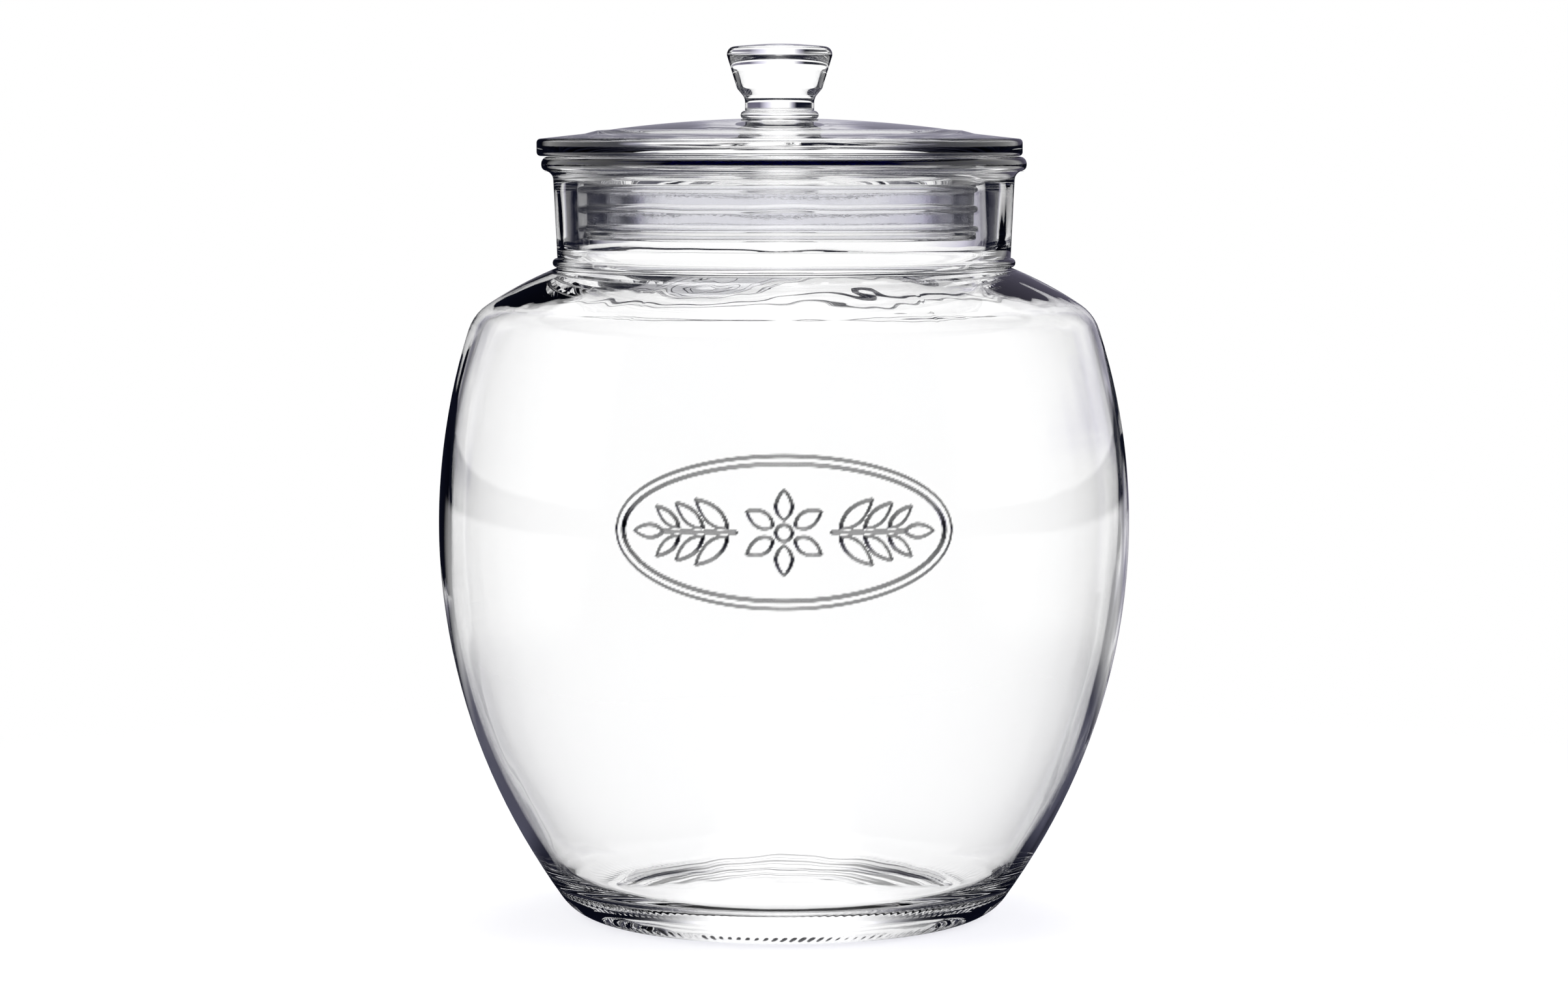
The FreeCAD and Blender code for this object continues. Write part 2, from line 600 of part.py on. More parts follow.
def draw_knob(body, s):
    """The half-section of the knob, its foot sunk in the dome."""
    outline = Outline("knob_section", body)
    foot = s.dome_height - s.knob_root
    crown_centre = (0, s.knob_height - s.knob_crown)
    cheek = 90 - s.cheek_lean
    flare_centre = (s.waist_radius + s.flare_radius, s.waist_height)
    # The head's edge and the rounding under the cheek lie along the cheek's line.
    edge_out = s.knob_radius - s.knob_edge * math.cos(math.radians(s.cheek_lean))
    edge_reach = s.knob_crown - s.knob_edge
    edge_centre = (edge_out, crown_centre[1] + math.sqrt(edge_reach ** 2 - edge_out ** 2))
    high = round_the_point(edge_centre, s.knob_edge, cheek - 90)
    inner_line = round_the_point(high, s.cheek_round, cheek + 90)
    gap = (flare_centre[0] - inner_line[0], flare_centre[1] - inner_line[1])
    along = (-math.cos(math.radians(cheek)), -math.sin(math.radians(cheek)))
    foot_run = gap[0] * along[0] + gap[1] * along[1]
    aside = math.hypot(*gap) ** 2 - foot_run ** 2
    run = foot_run - math.sqrt((s.flare_radius + s.cheek_round) ** 2 - aside)
    turn_centre = (inner_line[0] + run * along[0], inner_line[1] + run * along[1])
    low = round_the_point(turn_centre, s.cheek_round, cheek - 90)
    meet = angle_from(flare_centre, turn_centre)

    base = outline.leg((0, foot), (s.waist_radius, foot))
    waist = outline.leg((s.waist_radius, foot), (s.waist_radius, s.waist_height))
    flare = outline.arc(flare_centre, s.flare_radius, 180, meet)
    turn = outline.arc(turn_centre, s.cheek_round, meet - 180, cheek - 90)
    side = outline.leg(low, high, smooth=True)
    top_joint = angle_from(crown_centre, edge_centre)
    edge = outline.arc(edge_centre, s.knob_edge, cheek - 90, top_joint)
    crown = outline.arc(crown_centre, s.knob_crown, top_joint, 90)
    outline.leg((0, s.knob_height), (0, foot))
    outline.close()

    outline.level(base)
    outline.upright(waist)
    outline.on_axis(base, START)
    outline.up("foot_up", "dome_height - knob_root", base, START)
    outline.out("waist_out", "waist_radius", waist, START)
    outline.up("waist_up", "waist_height", waist, END)
    outline.radius("flare_arc", "flare_radius", flare)
    outline.radius("cheek_arc", "cheek_round", turn)
    outline.size("cheek_angle", "90 - cheek_lean", "Angle", side, math.radians(cheek))
    outline.out("knob_out", "knob_radius", side, END)
    outline.radius("edge_arc", "knob_edge", edge)
    outline.radius("crown_arc", "knob_crown", crown)
    outline.on_axis(crown, CENTRE)
    outline.on_axis(crown, END)
    outline.up("knob_up", "knob_height", crown, END)
    return outline.sketch


def turn_in(body, name, sketch):
    """A revolution of a sketch about its upright axis, as a body's next feature."""
    feature = body.newObject("PartDesign::Revolution", name)
    feature.Profile = sketch
    feature.ReferenceAxis = (sketch, ["V_Axis"])
    feature.Angle = 360
    return feature


def torus_in(body, name, ring_radius, section_radius, height):
    """A ring added to a body, its three sizes bound to the sheet."""
    ring = body.newObject("PartDesign::AdditiveTorus", name)
    bind(ring, "Radius1", ring_radius)
    bind(ring, "Radius2", section_radius)
    bind(ring, "Placement.Base.z", height)
    return ring


def seat_on_mouth(body):
    """Set a body on the flange, at its place in the lid's play."""
    bind(body, "Placement.Base.x", "0 - lid_shift")
    body.setExpression("Placement.Base.z", "jar_outside.Constraints.mouth_height")


def make_lid(s):
    """The lid: plate with hollow plug, knob, and a fine ring round the knob's foot."""
    body = doc.addObject("PartDesign::Body", "lid_body")
    body.Label = "lid"
    turn_in(body, "lid_plate", draw_plate(body, s))
    turn_in(body, "knob", draw_knob(body, s))
    torus_in(body, "knob_foot_ring", "waist_radius", "knob_ring", "dome_height + knob_ring_rise")
    seat_on_mouth(body)
    return body


def make_seal(s):
    """The seal: a silicone band in the plug's groove, with lips towards the bore."""
    body = doc.addObject("PartDesign::Body", "seal_body")
    body.Label = "seal"
    outline = Outline("seal_section", body)
    inner = s.neck_radius - s.neck_wall - s.plug_clearance - s.groove_depth
    outer = inner + s.seal_wall
    low = s.groove_bead - s.plug_depth
    high = low + s.seal_height
    foot = outline.leg((inner, low), (outer, low))
    face = outline.leg((outer, low), (outer, high))
    head = outline.leg((outer, high), (inner, high))
    back = outline.leg((inner, high), (inner, low))
    outline.close()
    outline.level(foot, head)
    outline.upright(face, back)
    outline.out("inner_out", GROOVE, foot, START)
    outline.size("band_run", "seal_wall", "DistanceX", foot, START, foot, END, s.seal_wall)
    outline.below("band_down", "plug_depth - groove_bead", foot, START)
    outline.size("band_up", "seal_height", "DistanceY", face, START, face, END, s.seal_height)
    turn_in(body, "seal_band", outline.sketch)
    lip = torus_in(body, "seal_lip", f"{BORE} - seal_clearance - lip_round", "lip_round",
                   "groove_bead + lip_round - plug_depth")
    doc.recompute()
    lips = body.newObject("PartDesign::LinearPattern", "seal_lips")
    lips.Originals = [lip]
    lips.Direction = (outline.sketch, ["V_Axis"])
    bind(lips, "Length", "seal_height - 2 * lip_round")
    lips.Occurrences = LIP_COUNT
    body.Tip = lips
    seat_on_mouth(body)
    return body


def check(parts):
    """Stop on a failed object, a loose sketch, or a part that isn't one valid solid."""
    for thing in doc.Objects:
        if "Invalid" in thing.State or "Error" in thing.State:
            raise RuntimeError(f"{thing.Name}: {thing.State}")
        if thing.TypeId == "Sketcher::SketchObject" and thing.Name != "ornament_lines":
            if not thing.FullyConstrained:
                raise RuntimeError(f"{thing.Name} is not fully constrained")
    for part in parts:
        shape = part.Shape
        if shape.isNull() or not shape.isValid() or len(shape.Solids) != 1:
            raise RuntimeError(f"{part.Label} is not one valid solid")


def main():
    s = make_sheet()
    parts = [make_jar(s), make_lid(s), make_seal(s)]
    doc.recompute()
    check(parts)
    os.makedirs("parts", exist_ok=True)
    for part in parts:
        part.Shape.exportStep(f"parts/{part.Label}.step")
        box = part.Shape.BoundBox
        print(f"{part.Label}: {part.Shape.Volume / 1000:.1f} cm3, "
              f"x {box.XMin:.2f} to {box.XMax:.2f}, z {box.ZMin:.2f} to {box.ZMax:.2f}")


main()
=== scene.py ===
"""The looks of a clear glass storage jar, its knobbed glass lid and its silicone seal."""
import math

import bpy
import numpy as np
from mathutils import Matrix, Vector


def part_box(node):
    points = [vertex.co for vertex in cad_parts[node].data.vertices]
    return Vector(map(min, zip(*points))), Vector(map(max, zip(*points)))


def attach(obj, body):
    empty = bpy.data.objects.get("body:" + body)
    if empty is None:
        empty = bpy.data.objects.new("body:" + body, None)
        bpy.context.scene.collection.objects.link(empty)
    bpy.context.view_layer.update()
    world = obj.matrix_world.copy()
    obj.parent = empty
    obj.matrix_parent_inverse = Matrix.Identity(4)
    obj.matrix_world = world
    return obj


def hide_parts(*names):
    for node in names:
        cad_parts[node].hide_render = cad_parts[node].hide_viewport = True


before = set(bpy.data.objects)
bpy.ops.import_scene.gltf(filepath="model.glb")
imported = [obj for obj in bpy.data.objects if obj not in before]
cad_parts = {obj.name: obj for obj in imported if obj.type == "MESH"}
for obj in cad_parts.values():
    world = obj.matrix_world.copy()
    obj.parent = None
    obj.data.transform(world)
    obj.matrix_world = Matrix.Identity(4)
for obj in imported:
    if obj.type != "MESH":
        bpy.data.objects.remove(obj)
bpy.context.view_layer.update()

MM = 0.001
FRONT = -90.0  # the direction of -Y, in degrees

# ---- sizes read from the frame ----

jar_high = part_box("jar")[1]
lid_low, lid_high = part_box("lid")
seal_low, seal_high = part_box("seal")
BELLY = jar_high.x
MOUTH_UP = jar_high.z
LID_SHIFT = (lid_low.x + lid_high.x) / 2
RIM = (lid_high.x - lid_low.x) / 2
PLUG_FOOT_UP = lid_low.z
KNOB_UP = lid_high.z

# ---- sizes of the jar ----

BELLY_UP = 108.2 * MM
LOWER_FLANK = 175.3 * MM
UPPER_FLANK = 175.5 * MM
FLANK_LEAN = 17.7
CORNER = 13.0 * MM
SHOULDER_SLOPE = 34.0
SHOULDER = 102.0 * MM
HEEL = 13.5 * MM
BEARING_WIDTH = 3.0 * MM
BEARING_ROUND = 3.0 * MM
PUNT_UP = 5.0 * MM
WALL = 3.0 * MM
FLOOR_UP = 8.5 * MM
FOOT = 50.9 * MM  # about where the bearing ring begins
INNER_HEEL = 24.0 * MM
HEEL_THICKNESS = 6.2 * MM
NECK = 62.3 * MM
NECK_FLARE = 1.1 * MM
NECK_RING = 1.3 * MM
NECK_HEIGHT = 26.4 * MM
FLANGE = NECK + 4.25 * MM
FLANGE_FILLET = 2.5 * MM
EDGE_ROUND = 1.1 * MM
FLANGE_ROUND = 2.0 * MM
FLANGE_FOOT_ROUND = 1.5 * MM
BORE = NECK - 7.0 * MM
BORE_ROUND = 6.0 * MM
MOUTH_ROUND = 1.0 * MM

# ---- sizes of the raised ornament ----

MOTIF_UP = 113.8 * MM
MOTIF_WIDTH = 90.0 * MM
MOTIF_HEIGHT = 40.0 * MM
RELIEF = 0.65 * MM
ORNAMENT_EDGE = 1.1 * MM  # how far its rounded edges reach in
FRAME_BAND = 3.1 * MM
FLOWER_DISC = 2.6 * MM
PETALS = 6
PETAL_FOOT = 3.0 * MM  # from the flower's middle
PETAL = (8.4 * MM, 5.2 * MM)  # length and width, as are the leaves'
STEM_START = 12.0 * MM
STEM_END = 31.0 * MM
STEM_HALF = 0.75 * MM
LEAF_PAIRS = 3
LEAF = (12.0 * MM, 5.2 * MM)
LEAF_SHRINK = 0.12  # how much smaller each pair is than the last
LEAF_LEAN = 42
LEAF_FOOT = 0.7 * MM
TIP_LEAF = (9.0 * MM, 4.4 * MM)

# ---- where a dark line of shade is painted on the glass, for the dark that thick glass refracts: start, full, full, end ----

PAINTED_BEVEL_LINE = (50.0 * MM, 50.5 * MM, 52.2 * MM, 53.0 * MM)  # out from the lid's axis
PAINTED_FLANGE_LINE = (0.3 * MM, 0.6 * MM, 2.2 * MM, 2.8 * MM)  # down from the mouth

# ---- sizes of the lid and the seal ----

RIM_THICKNESS = 4.75 * MM
BEVEL_FOOT = (53.5 * MM, 6.2 * MM)
BEVEL_TOP = (50.0 * MM, 7.1 * MM)
DOME_EDGE = (46.5 * MM, 7.3 * MM)
DOME_HEIGHT = 10.4 * MM
CEILING = 2.6 * MM
CEILING_FILLET = 4.0 * MM
PLUG = BORE - 1.8 * MM
GROOVE = PLUG - 2.0 * MM
SKIRT = GROOVE - 4.0 * MM
GROOVE_BEAD = 2.5 * MM
SEAL_HEIGHT = 12.5 * MM
KNOB = 14.4 * MM
KNOB_EDGE = 2.2 * MM
KNOB_CROWN = 112.0 * MM
CHEEK_LEAN = 13.2
WAIST = 9.5 * MM
WAIST_UP = 15.0 * MM
KNOB_RING = 1.2 * MM
KNOB_RING_RISE = 0.85 * MM
SEAL_WALL = 1.4 * MM
LIP_ROUND = 0.8 * MM
LIP_REACH = BORE - 1.3 * MM
FACE_GAP = 0.06 * MM  # air left between faces that touch, so that light sees both

# ---- steps between points ----

FINE = 0.39 * MM
MIDDLE = 1.2 * MM
COARSE = 5.0 * MM


# ---- shapes ----

def on_circle(centre, radius, angle):
    """The point at an angle, in degrees, on a circle."""
    turn = math.radians(angle)
    return (centre[0] + radius * math.cos(turn), centre[1] + radius * math.sin(turn))


def angle_from(centre, point):
    """The direction from one point to another, in degrees."""
    return math.degrees(math.atan2(point[1] - centre[1], point[0] - centre[0]))


def arc_run(centre, radius, first, last, step):
    """Points along an arc: the centre plus the radius times each angle's cosine and sine."""
    count = max(4, round(abs(math.radians(last - first)) * radius / step) + 1)
    turn = np.radians(np.linspace(first, last, count))
    return np.stack([centre[0] + radius * np.cos(turn), centre[1] + radius * np.sin(turn)], 1)


def leg_run(start, end, step):
    """Points along a straight leg: the two ends mixed in even shares."""
    count = max(2, round(math.dist(start, end) / step) + 1)
    share = np.linspace(0, 1, count)[:, None]
    return np.array(start) * (1 - share) + np.array(end) * share


def joined(*runs):
    """One line of points through several runs, each shared point kept once."""
    path = np.vstack(runs)
    apart = np.hypot(*np.diff(path, axis=0).T) > 1e-8
    return path[np.r_[True, apart]]


def rounded(corners, step, round_step):
    """A line through corners (radius, height, rounding).

    Each corner is cut by an arc that runs smoothly into its two legs.
    """
    runs = []
    last = np.array(corners[0][:2])
    for before, here, after in zip(corners, corners[1:], corners[2:]):
        point = np.array(here[:2])
        back = np.array(before[:2]) - point
        ahead = np.array(after[:2]) - point
        back /= np.hypot(*back)
        ahead /= np.hypot(*ahead)
        half = math.acos(np.clip(back @ ahead, -1, 1)) / 2
        reach = here[2] / math.tan(half)
        middle = (back + ahead) / np.hypot(*(back + ahead))
        centre = point + middle * here[2] / math.sin(half)
        start, end = point + back * reach, point + ahead * reach
        first = angle_from(centre, start)
        turn = (angle_from(centre, end) - first + 180) % 360 - 180
        runs.append(leg_run(last, start, step))
        runs.append(arc_run(centre, here[2], first, first + turn, round_step))
        last = end
    runs.append(leg_run(last, corners[-1][:2], step))
    return joined(*runs)


def placed(name, data):
    """A new object for a mesh, lamp or camera, put into the scene."""
    piece = bpy.data.objects.new(name, data)
    bpy.context.scene.collection.objects.link(piece)
    return piece


def mesh_of_grid(name, points):
    """A closed surface from rows of points: each row is a ring, the first and last are poles."""
    rows, columns = points.shape[:2]
    middle = points[1:-1].reshape(-1, 3)
    poles = np.stack([points[0, 0], points[-1, 0]])
    first_pole, last_pole = len(middle), len(middle) + 1
    ring = np.arange(columns)
    beside = (ring + 1) % columns
    low = (np.arange(rows - 3) * columns)[:, None]
    quads = np.stack([low + ring, low + beside, low + columns + beside, low + columns + ring], -1)
    top = (rows - 3) * columns
    first_fan = np.stack([np.full(columns, first_pole), beside, ring], 1)
    last_fan = np.stack([np.full(columns, last_pole), top + ring, top + beside], 1)
    corners = np.concatenate([quads.ravel(), first_fan.ravel(), last_fan.ravel()])
    sizes = np.concatenate([np.full(quads.size // 4, 4), np.full(2 * columns, 3)])
    mesh = bpy.data.meshes.new(name)
    mesh.vertices.add(len(middle) + 2)
    mesh.vertices.foreach_set("co", np.concatenate([middle, poles]).ravel())
    mesh.loops.add(len(corners))
    mesh.loops.foreach_set("vertex_index", corners)
    mesh.polygons.add(len(sizes))
    mesh.polygons.foreach_set("loop_start", np.r_[0, np.cumsum(sizes)[:-1]])
    mesh.update(calc_edges=True)
    mesh.validate()
    mesh.shade_smooth()
    return placed(name, mesh)


def path_normals(path):
    """The direction square to the path at each point, to the right of the way it runs."""
    along = np.gradient(path, axis=0)
    along /= np.maximum(np.hypot(*along.T), 1e-12)[:, None]
    return np.stack([along[:, 1], -along[:, 0]], 1)


def turned_surface(name, path, angles, push, shift=0.0):
    """The path carried round the upright axis, each point moved along the path's normal by push."""
    normals = path_normals(path)
    radius = path[:, :1] + normals[:, :1] * push
    height = path[:, 1:] + normals[:, 1:] * push
    turn = np.radians(angles)[None, :]
    points = np.stack([radius * np.cos(turn) + shift, radius * np.sin(turn), height], -1)
    points[0] = (shift, 0, path[0, 1])
    points[-1] = (shift, 0, path[-1, 1])
    return mesh_of_grid(name, points)


def unevenness(angles, path, waves):
    """A sum of cosines of the angle and the distance along the path, as on blown glass.

    A wave is its count round the jar, its count per metre of path, its phase and its depth.
    """
    turn = np.radians(angles)[None, :]
    along = np.r_[0, np.cumsum(np.hypot(*np.diff(path, axis=0).T))][:, None]
    height = np.zeros((len(path), len(angles)))
    for count, per_metre, phase, depth in waves:
        height += depth * np.cos(count * turn + 2 * math.pi * per_metre * along + phase)
    return height


def smooth_step(value, low, high):
    """0 below low, 1 above high, and a smooth cubic between them."""
    share = np.clip((value - low) / (high - low), 0, 1)
    return share * share * (3 - 2 * share)


def soft_band(value, edges):
    """1 between the two middle edges, falling smoothly to 0 at the outer ones."""
    start, full, still_full, end = edges
    return smooth_step(value, start, full) * (1 - smooth_step(value, still_full, end))


# ---- the jar's outline ----

def flank_centres():
    """Centres of the lower flank, the upper flank, the shoulder's corner and the shoulder."""
    lower = (BELLY - LOWER_FLANK, BELLY_UP)
    upper = (BELLY - UPPER_FLANK, BELLY_UP)
    corner = on_circle(upper, UPPER_FLANK - CORNER, FLANK_LEAN)
    shoulder = on_circle(corner, CORNER - SHOULDER, 90 - SHOULDER_SLOPE)
    return lower, upper, corner, shoulder


def domed_radius(reach, rise, corner):
    """Radius of a dome on the axis that runs smoothly into a corner arc."""
    return (reach ** 2 + rise ** 2 - corner ** 2) / (2 * (corner - rise))


def flank_run(inset, first, last, step, motif_step):
    """The flank, corner and shoulder, set in from the outside, finer where the ornament lies."""
    lower, upper, corner, shoulder = flank_centres()
    low = -math.degrees(math.asin((BELLY_UP - MOTIF_UP + MOTIF_HEIGHT * 0.52) / LOWER_FLANK))
    high = math.degrees(math.asin((MOTIF_UP + MOTIF_HEIGHT * 0.52 - BELLY_UP) / UPPER_FLANK))
    top = 90 - SHOULDER_SLOPE
    return joined(
        arc_run(lower, LOWER_FLANK - inset, first, low, step),
        arc_run(lower, LOWER_FLANK - inset, low, 0, motif_step),
        arc_run(upper, UPPER_FLANK - inset, 0, high, motif_step),
        arc_run(upper, UPPER_FLANK - inset, high, FLANK_LEAN, step),
        arc_run(corner, CORNER - inset, FLANK_LEAN, top, MIDDLE * 1.5),
        arc_run(shoulder, SHOULDER - inset, top, last, MIDDLE * 1.8),
    )


def jar_outside():
    """From the middle of the underside out, up the flank and the neck, to the mouth."""
    lower, shoulder = flank_centres()[0], flank_centres()[3]
    run = math.sqrt((LOWER_FLANK - HEEL) ** 2 - (HEEL - BELLY_UP) ** 2)
    heel = (lower[0] + run, HEEL)
    foot = heel[0] - BEARING_WIDTH
    punt = domed_radius(foot, BEARING_ROUND - PUNT_UP, BEARING_ROUND)
    punt_centre = (0.0, PUNT_UP - punt)
    joint = angle_from(punt_centre, (foot, BEARING_ROUND))
    neck_angle = math.degrees(math.acos((NECK - shoulder[0]) / SHOULDER))
    neck_foot = on_circle(shoulder, SHOULDER, neck_angle)
    under = neck_foot[1] + NECK_HEIGHT
    ring = (NECK, neck_foot[1] + NECK_RING)
    neck = rounded((
        (NECK, neck_foot[1] + 2 * NECK_RING, 0),
        (NECK + NECK_FLARE, under, FLANGE_FILLET),
        (FLANGE, under, FLANGE_FOOT_ROUND),
        (FLANGE, MOUTH_UP, FLANGE_ROUND),
        (BORE, MOUTH_UP, MOUTH_ROUND),
        (BORE, MOUTH_UP - 2 * MOUTH_ROUND, 0),
    ), 3.2 * MM, 0.55 * MM)
    path = joined(
        arc_run(punt_centre, punt, 90, joint, 7 * MM),
        arc_run((foot, BEARING_ROUND), BEARING_ROUND, joint - 180, -90, 0.7 * MM),
        leg_run((foot, 0), (heel[0], 0), MIDDLE),
        arc_run(heel, HEEL, -90, angle_from(lower, heel), 1.3 * MM),
        flank_run(0, angle_from(lower, heel), neck_angle, COARSE, FINE),
        arc_run(ring, NECK_RING, -80, 84, 0.45 * MM),
        neck,
    )
    return path


def jar_inside():
    """From the bore down past the shoulder and the flank to the middle of the floor."""
    lower, shoulder = flank_centres()[0], flank_centres()[3]
    reach = SHOULDER - WALL + BORE_ROUND
    out = BORE + BORE_ROUND
    curve = (out, shoulder[1] + math.sqrt(reach ** 2 - (out - shoulder[0]) ** 2))
    meet = angle_from(shoulder, curve)
    heel_up = HEEL_THICKNESS + INNER_HEEL
    span = LOWER_FLANK - WALL - INNER_HEEL
    heel = (lower[0] + math.sqrt(span ** 2 - (BELLY_UP - heel_up) ** 2), heel_up)
    floor = domed_radius(heel[0], heel_up - FLOOR_UP, INNER_HEEL)
    floor_centre = (0.0, FLOOR_UP - floor)
    joint = angle_from(floor_centre, heel)
    flank = flank_run(WALL, angle_from(lower, heel), meet, 6.5 * MM, 4.5 * MM)
    return joined(
        leg_run((BORE, MOUTH_UP - 2 * MOUTH_ROUND), (BORE, curve[1]), 2.2 * MM),
        arc_run(curve, BORE_ROUND, 180, 180 + meet, MIDDLE),
        flank[::-1],
        arc_run(heel, INNER_HEEL, angle_from(lower, heel), joint - 180, 1.6 * MM),
        arc_run(floor_centre, floor, joint, 90, 6 * MM),
    )


# ---- the ornament ----

def raised(inside):
    """A plateau with a rounded edge: from 0 at the outline to 1 a short way inside it."""
    return smooth_step(inside, 0, ORNAMENT_EDGE)


def leaf_height(across, up, base, direction, length, width):
    """A leaf: a plateau whose half width swells as a sine along its length."""
    turn = math.radians(direction)
    along = (across - base[0]) * math.cos(turn) + (up - base[1]) * math.sin(turn)
    aside = (up - base[1]) * math.cos(turn) - (across - base[0]) * math.sin(turn)
    share = np.clip(along / length, 0, 1)
    half = width / 2 * np.sin(math.pi * share ** 0.85) ** 0.8
    return np.where((along > 0) & (along < length), raised(half - np.abs(aside)), 0)


def oval_distance(across, up, half_width, half_height):
    """About how far a point lies outside an oval: its scaled length less one, over its slope."""
    scaled = np.hypot(across / half_width, up / half_height)
    slope = np.hypot(across / half_width ** 2, up / half_height ** 2) / np.maximum(scaled, 1e-9)
    return (scaled - 1) / np.maximum(slope, 1e-9)


def ornament_height(across, up):
    """An oval frame round a flower, with a leafy spray on either side, from 0 to 1."""
    half_width, half_height = MOTIF_WIDTH / 2, MOTIF_HEIGHT / 2
    middle = oval_distance(across, up, half_width - FRAME_BAND / 2, half_height - FRAME_BAND / 2)
    height = raised(FRAME_BAND / 2 - np.abs(middle))
    height = np.maximum(height, raised(FLOWER_DISC - np.hypot(across, up)))
    for number in range(PETALS):
        direction = 360 / PETALS * number + 30
        base = on_circle((0, 0), PETAL_FOOT, direction)
        height = np.maximum(height, leaf_height(across, up, base, direction, *PETAL))
    on_stem = (np.abs(across) > STEM_START) & (np.abs(across) < STEM_END + 2 * MM)
    height = np.maximum(height, np.where(on_stem, raised(STEM_HALF - np.abs(up)), 0))
    for side, heading in ((1, 0), (-1, 180)):
        for number in range(LEAF_PAIRS):
            out = STEM_START + (STEM_END - STEM_START) / LEAF_PAIRS * (number + 0.35)
            size = 1.0 - LEAF_SHRINK * number
            for lean in (LEAF_LEAN, -LEAF_LEAN):
                base = (side * out, math.copysign(LEAF_FOOT, lean))
                leaf = leaf_height(across, up, base, heading + side * lean,
                                   LEAF[0] * size, LEAF[1] * size)
                height = np.maximum(height, leaf)
        tip = leaf_height(across, up, (side * STEM_END, 0), heading, *TIP_LEAF)
        height = np.maximum(height, tip)
    return height


# ---- pieces ----

def jar_angles():
    """Angles round the jar, close together across the ornament and wide elsewhere."""
    half = math.degrees(MOTIF_WIDTH / 2 / BELLY) * 1.06
    count = round(2 * half / math.degrees(FINE / BELLY))
    front = np.linspace(-half, half, count, endpoint=False)
    rest = np.linspace(half, 360 - half, 96, endpoint=False)
    return FRONT + np.concatenate([front, rest])


INNER_WAVES = (
    (1, 2.0, 0.4, 0.22 * MM),
    (2, -5.0, 1.9, 0.16 * MM),
    (3, 9.0, 0.2, 0.11 * MM),
    (5, -14.0, 2.7, 0.07 * MM),
    (8, 21.0, 1.2, 0.04 * MM),
)
SHOULDER_WAVES = (
    (2, 26, 0.9, 0.08 * MM),
    (5, -38, 2.2, 0.05 * MM),
    (9, 57, 0.1, 0.02 * MM),
)
SHOULDER_SWELL = 1.2 * MM  # how much thicker the glass gathers in the shoulder
FLANK_THINNING = 0.5 * MM  # how much thinner than the wall the glass is drawn in the flank
NECK_WAVES = (
    (7, 6.0, 0.3, 0.06 * MM),
    (13, -9.0, 1.4, 0.05 * MM),
    (22, 13.0, 2.6, 0.03 * MM),
)
OUTER_WAVES = (
    (2, 6.0, 0.6, 0.035 * MM),
    (5, -17.0, 2.1, 0.02 * MM),
    (11, 24.0, 1.0, 0.008 * MM),
)


def ornament_painted_shade(ornament, angles, path):
    """How much painted shade each point of the ornament's edges gets, standing in for what their
    slopes refract.

    It follows the height's slope, and is a little more where the slope faces aside.
    """
    arc = np.radians(np.gradient(angles))[None, :] * path[:, :1]
    along = np.hypot(*np.gradient(path, axis=0).T)[:, None]
    aside = np.gradient(ornament, axis=1) * RELIEF / np.maximum(arc, 1e-9)
    upward = np.gradient(ornament, axis=0) * RELIEF / np.maximum(along, 1e-9)
    slope = np.hypot(aside, upward)
    lean = np.abs(aside) / np.maximum(slope, 1e-9)
    return smooth_step(slope, 0.08, 0.3) * (0.9 + 0.1 * lean)


def store_painted_shade(piece, shade):
    """Stores how much painted shade each point of a grid's surface gets, poles last."""
    edge = piece.data.attributes.new("painted_shade_mask", "FLOAT", "POINT")
    edge.data.foreach_set("value", np.r_[shade[1:-1].ravel(), shade[0, 0], shade[-1, 0]])


def painted_bevel_shade(path):
    """The painted dark line of shade round the foot of the lid's dome: a soft band of radius on its
    upper face.
    """
    radius, height = path[:, :1], path[:, 1:]
    return soft_band(radius, PAINTED_BEVEL_LINE) * (height > MOUTH_UP + RIM_THICKNESS)


def painted_flange_shade(path, outer):
    """The painted shade on the upper half of the flange's edge: a soft band of height on its outer
    face.
    """
    at_flange = outer[:, None] & (path[:, :1] > FLANGE - 2 * MM)
    return soft_band(MOUTH_UP - path[:, 1:], PAINTED_FLANGE_LINE) * at_flange


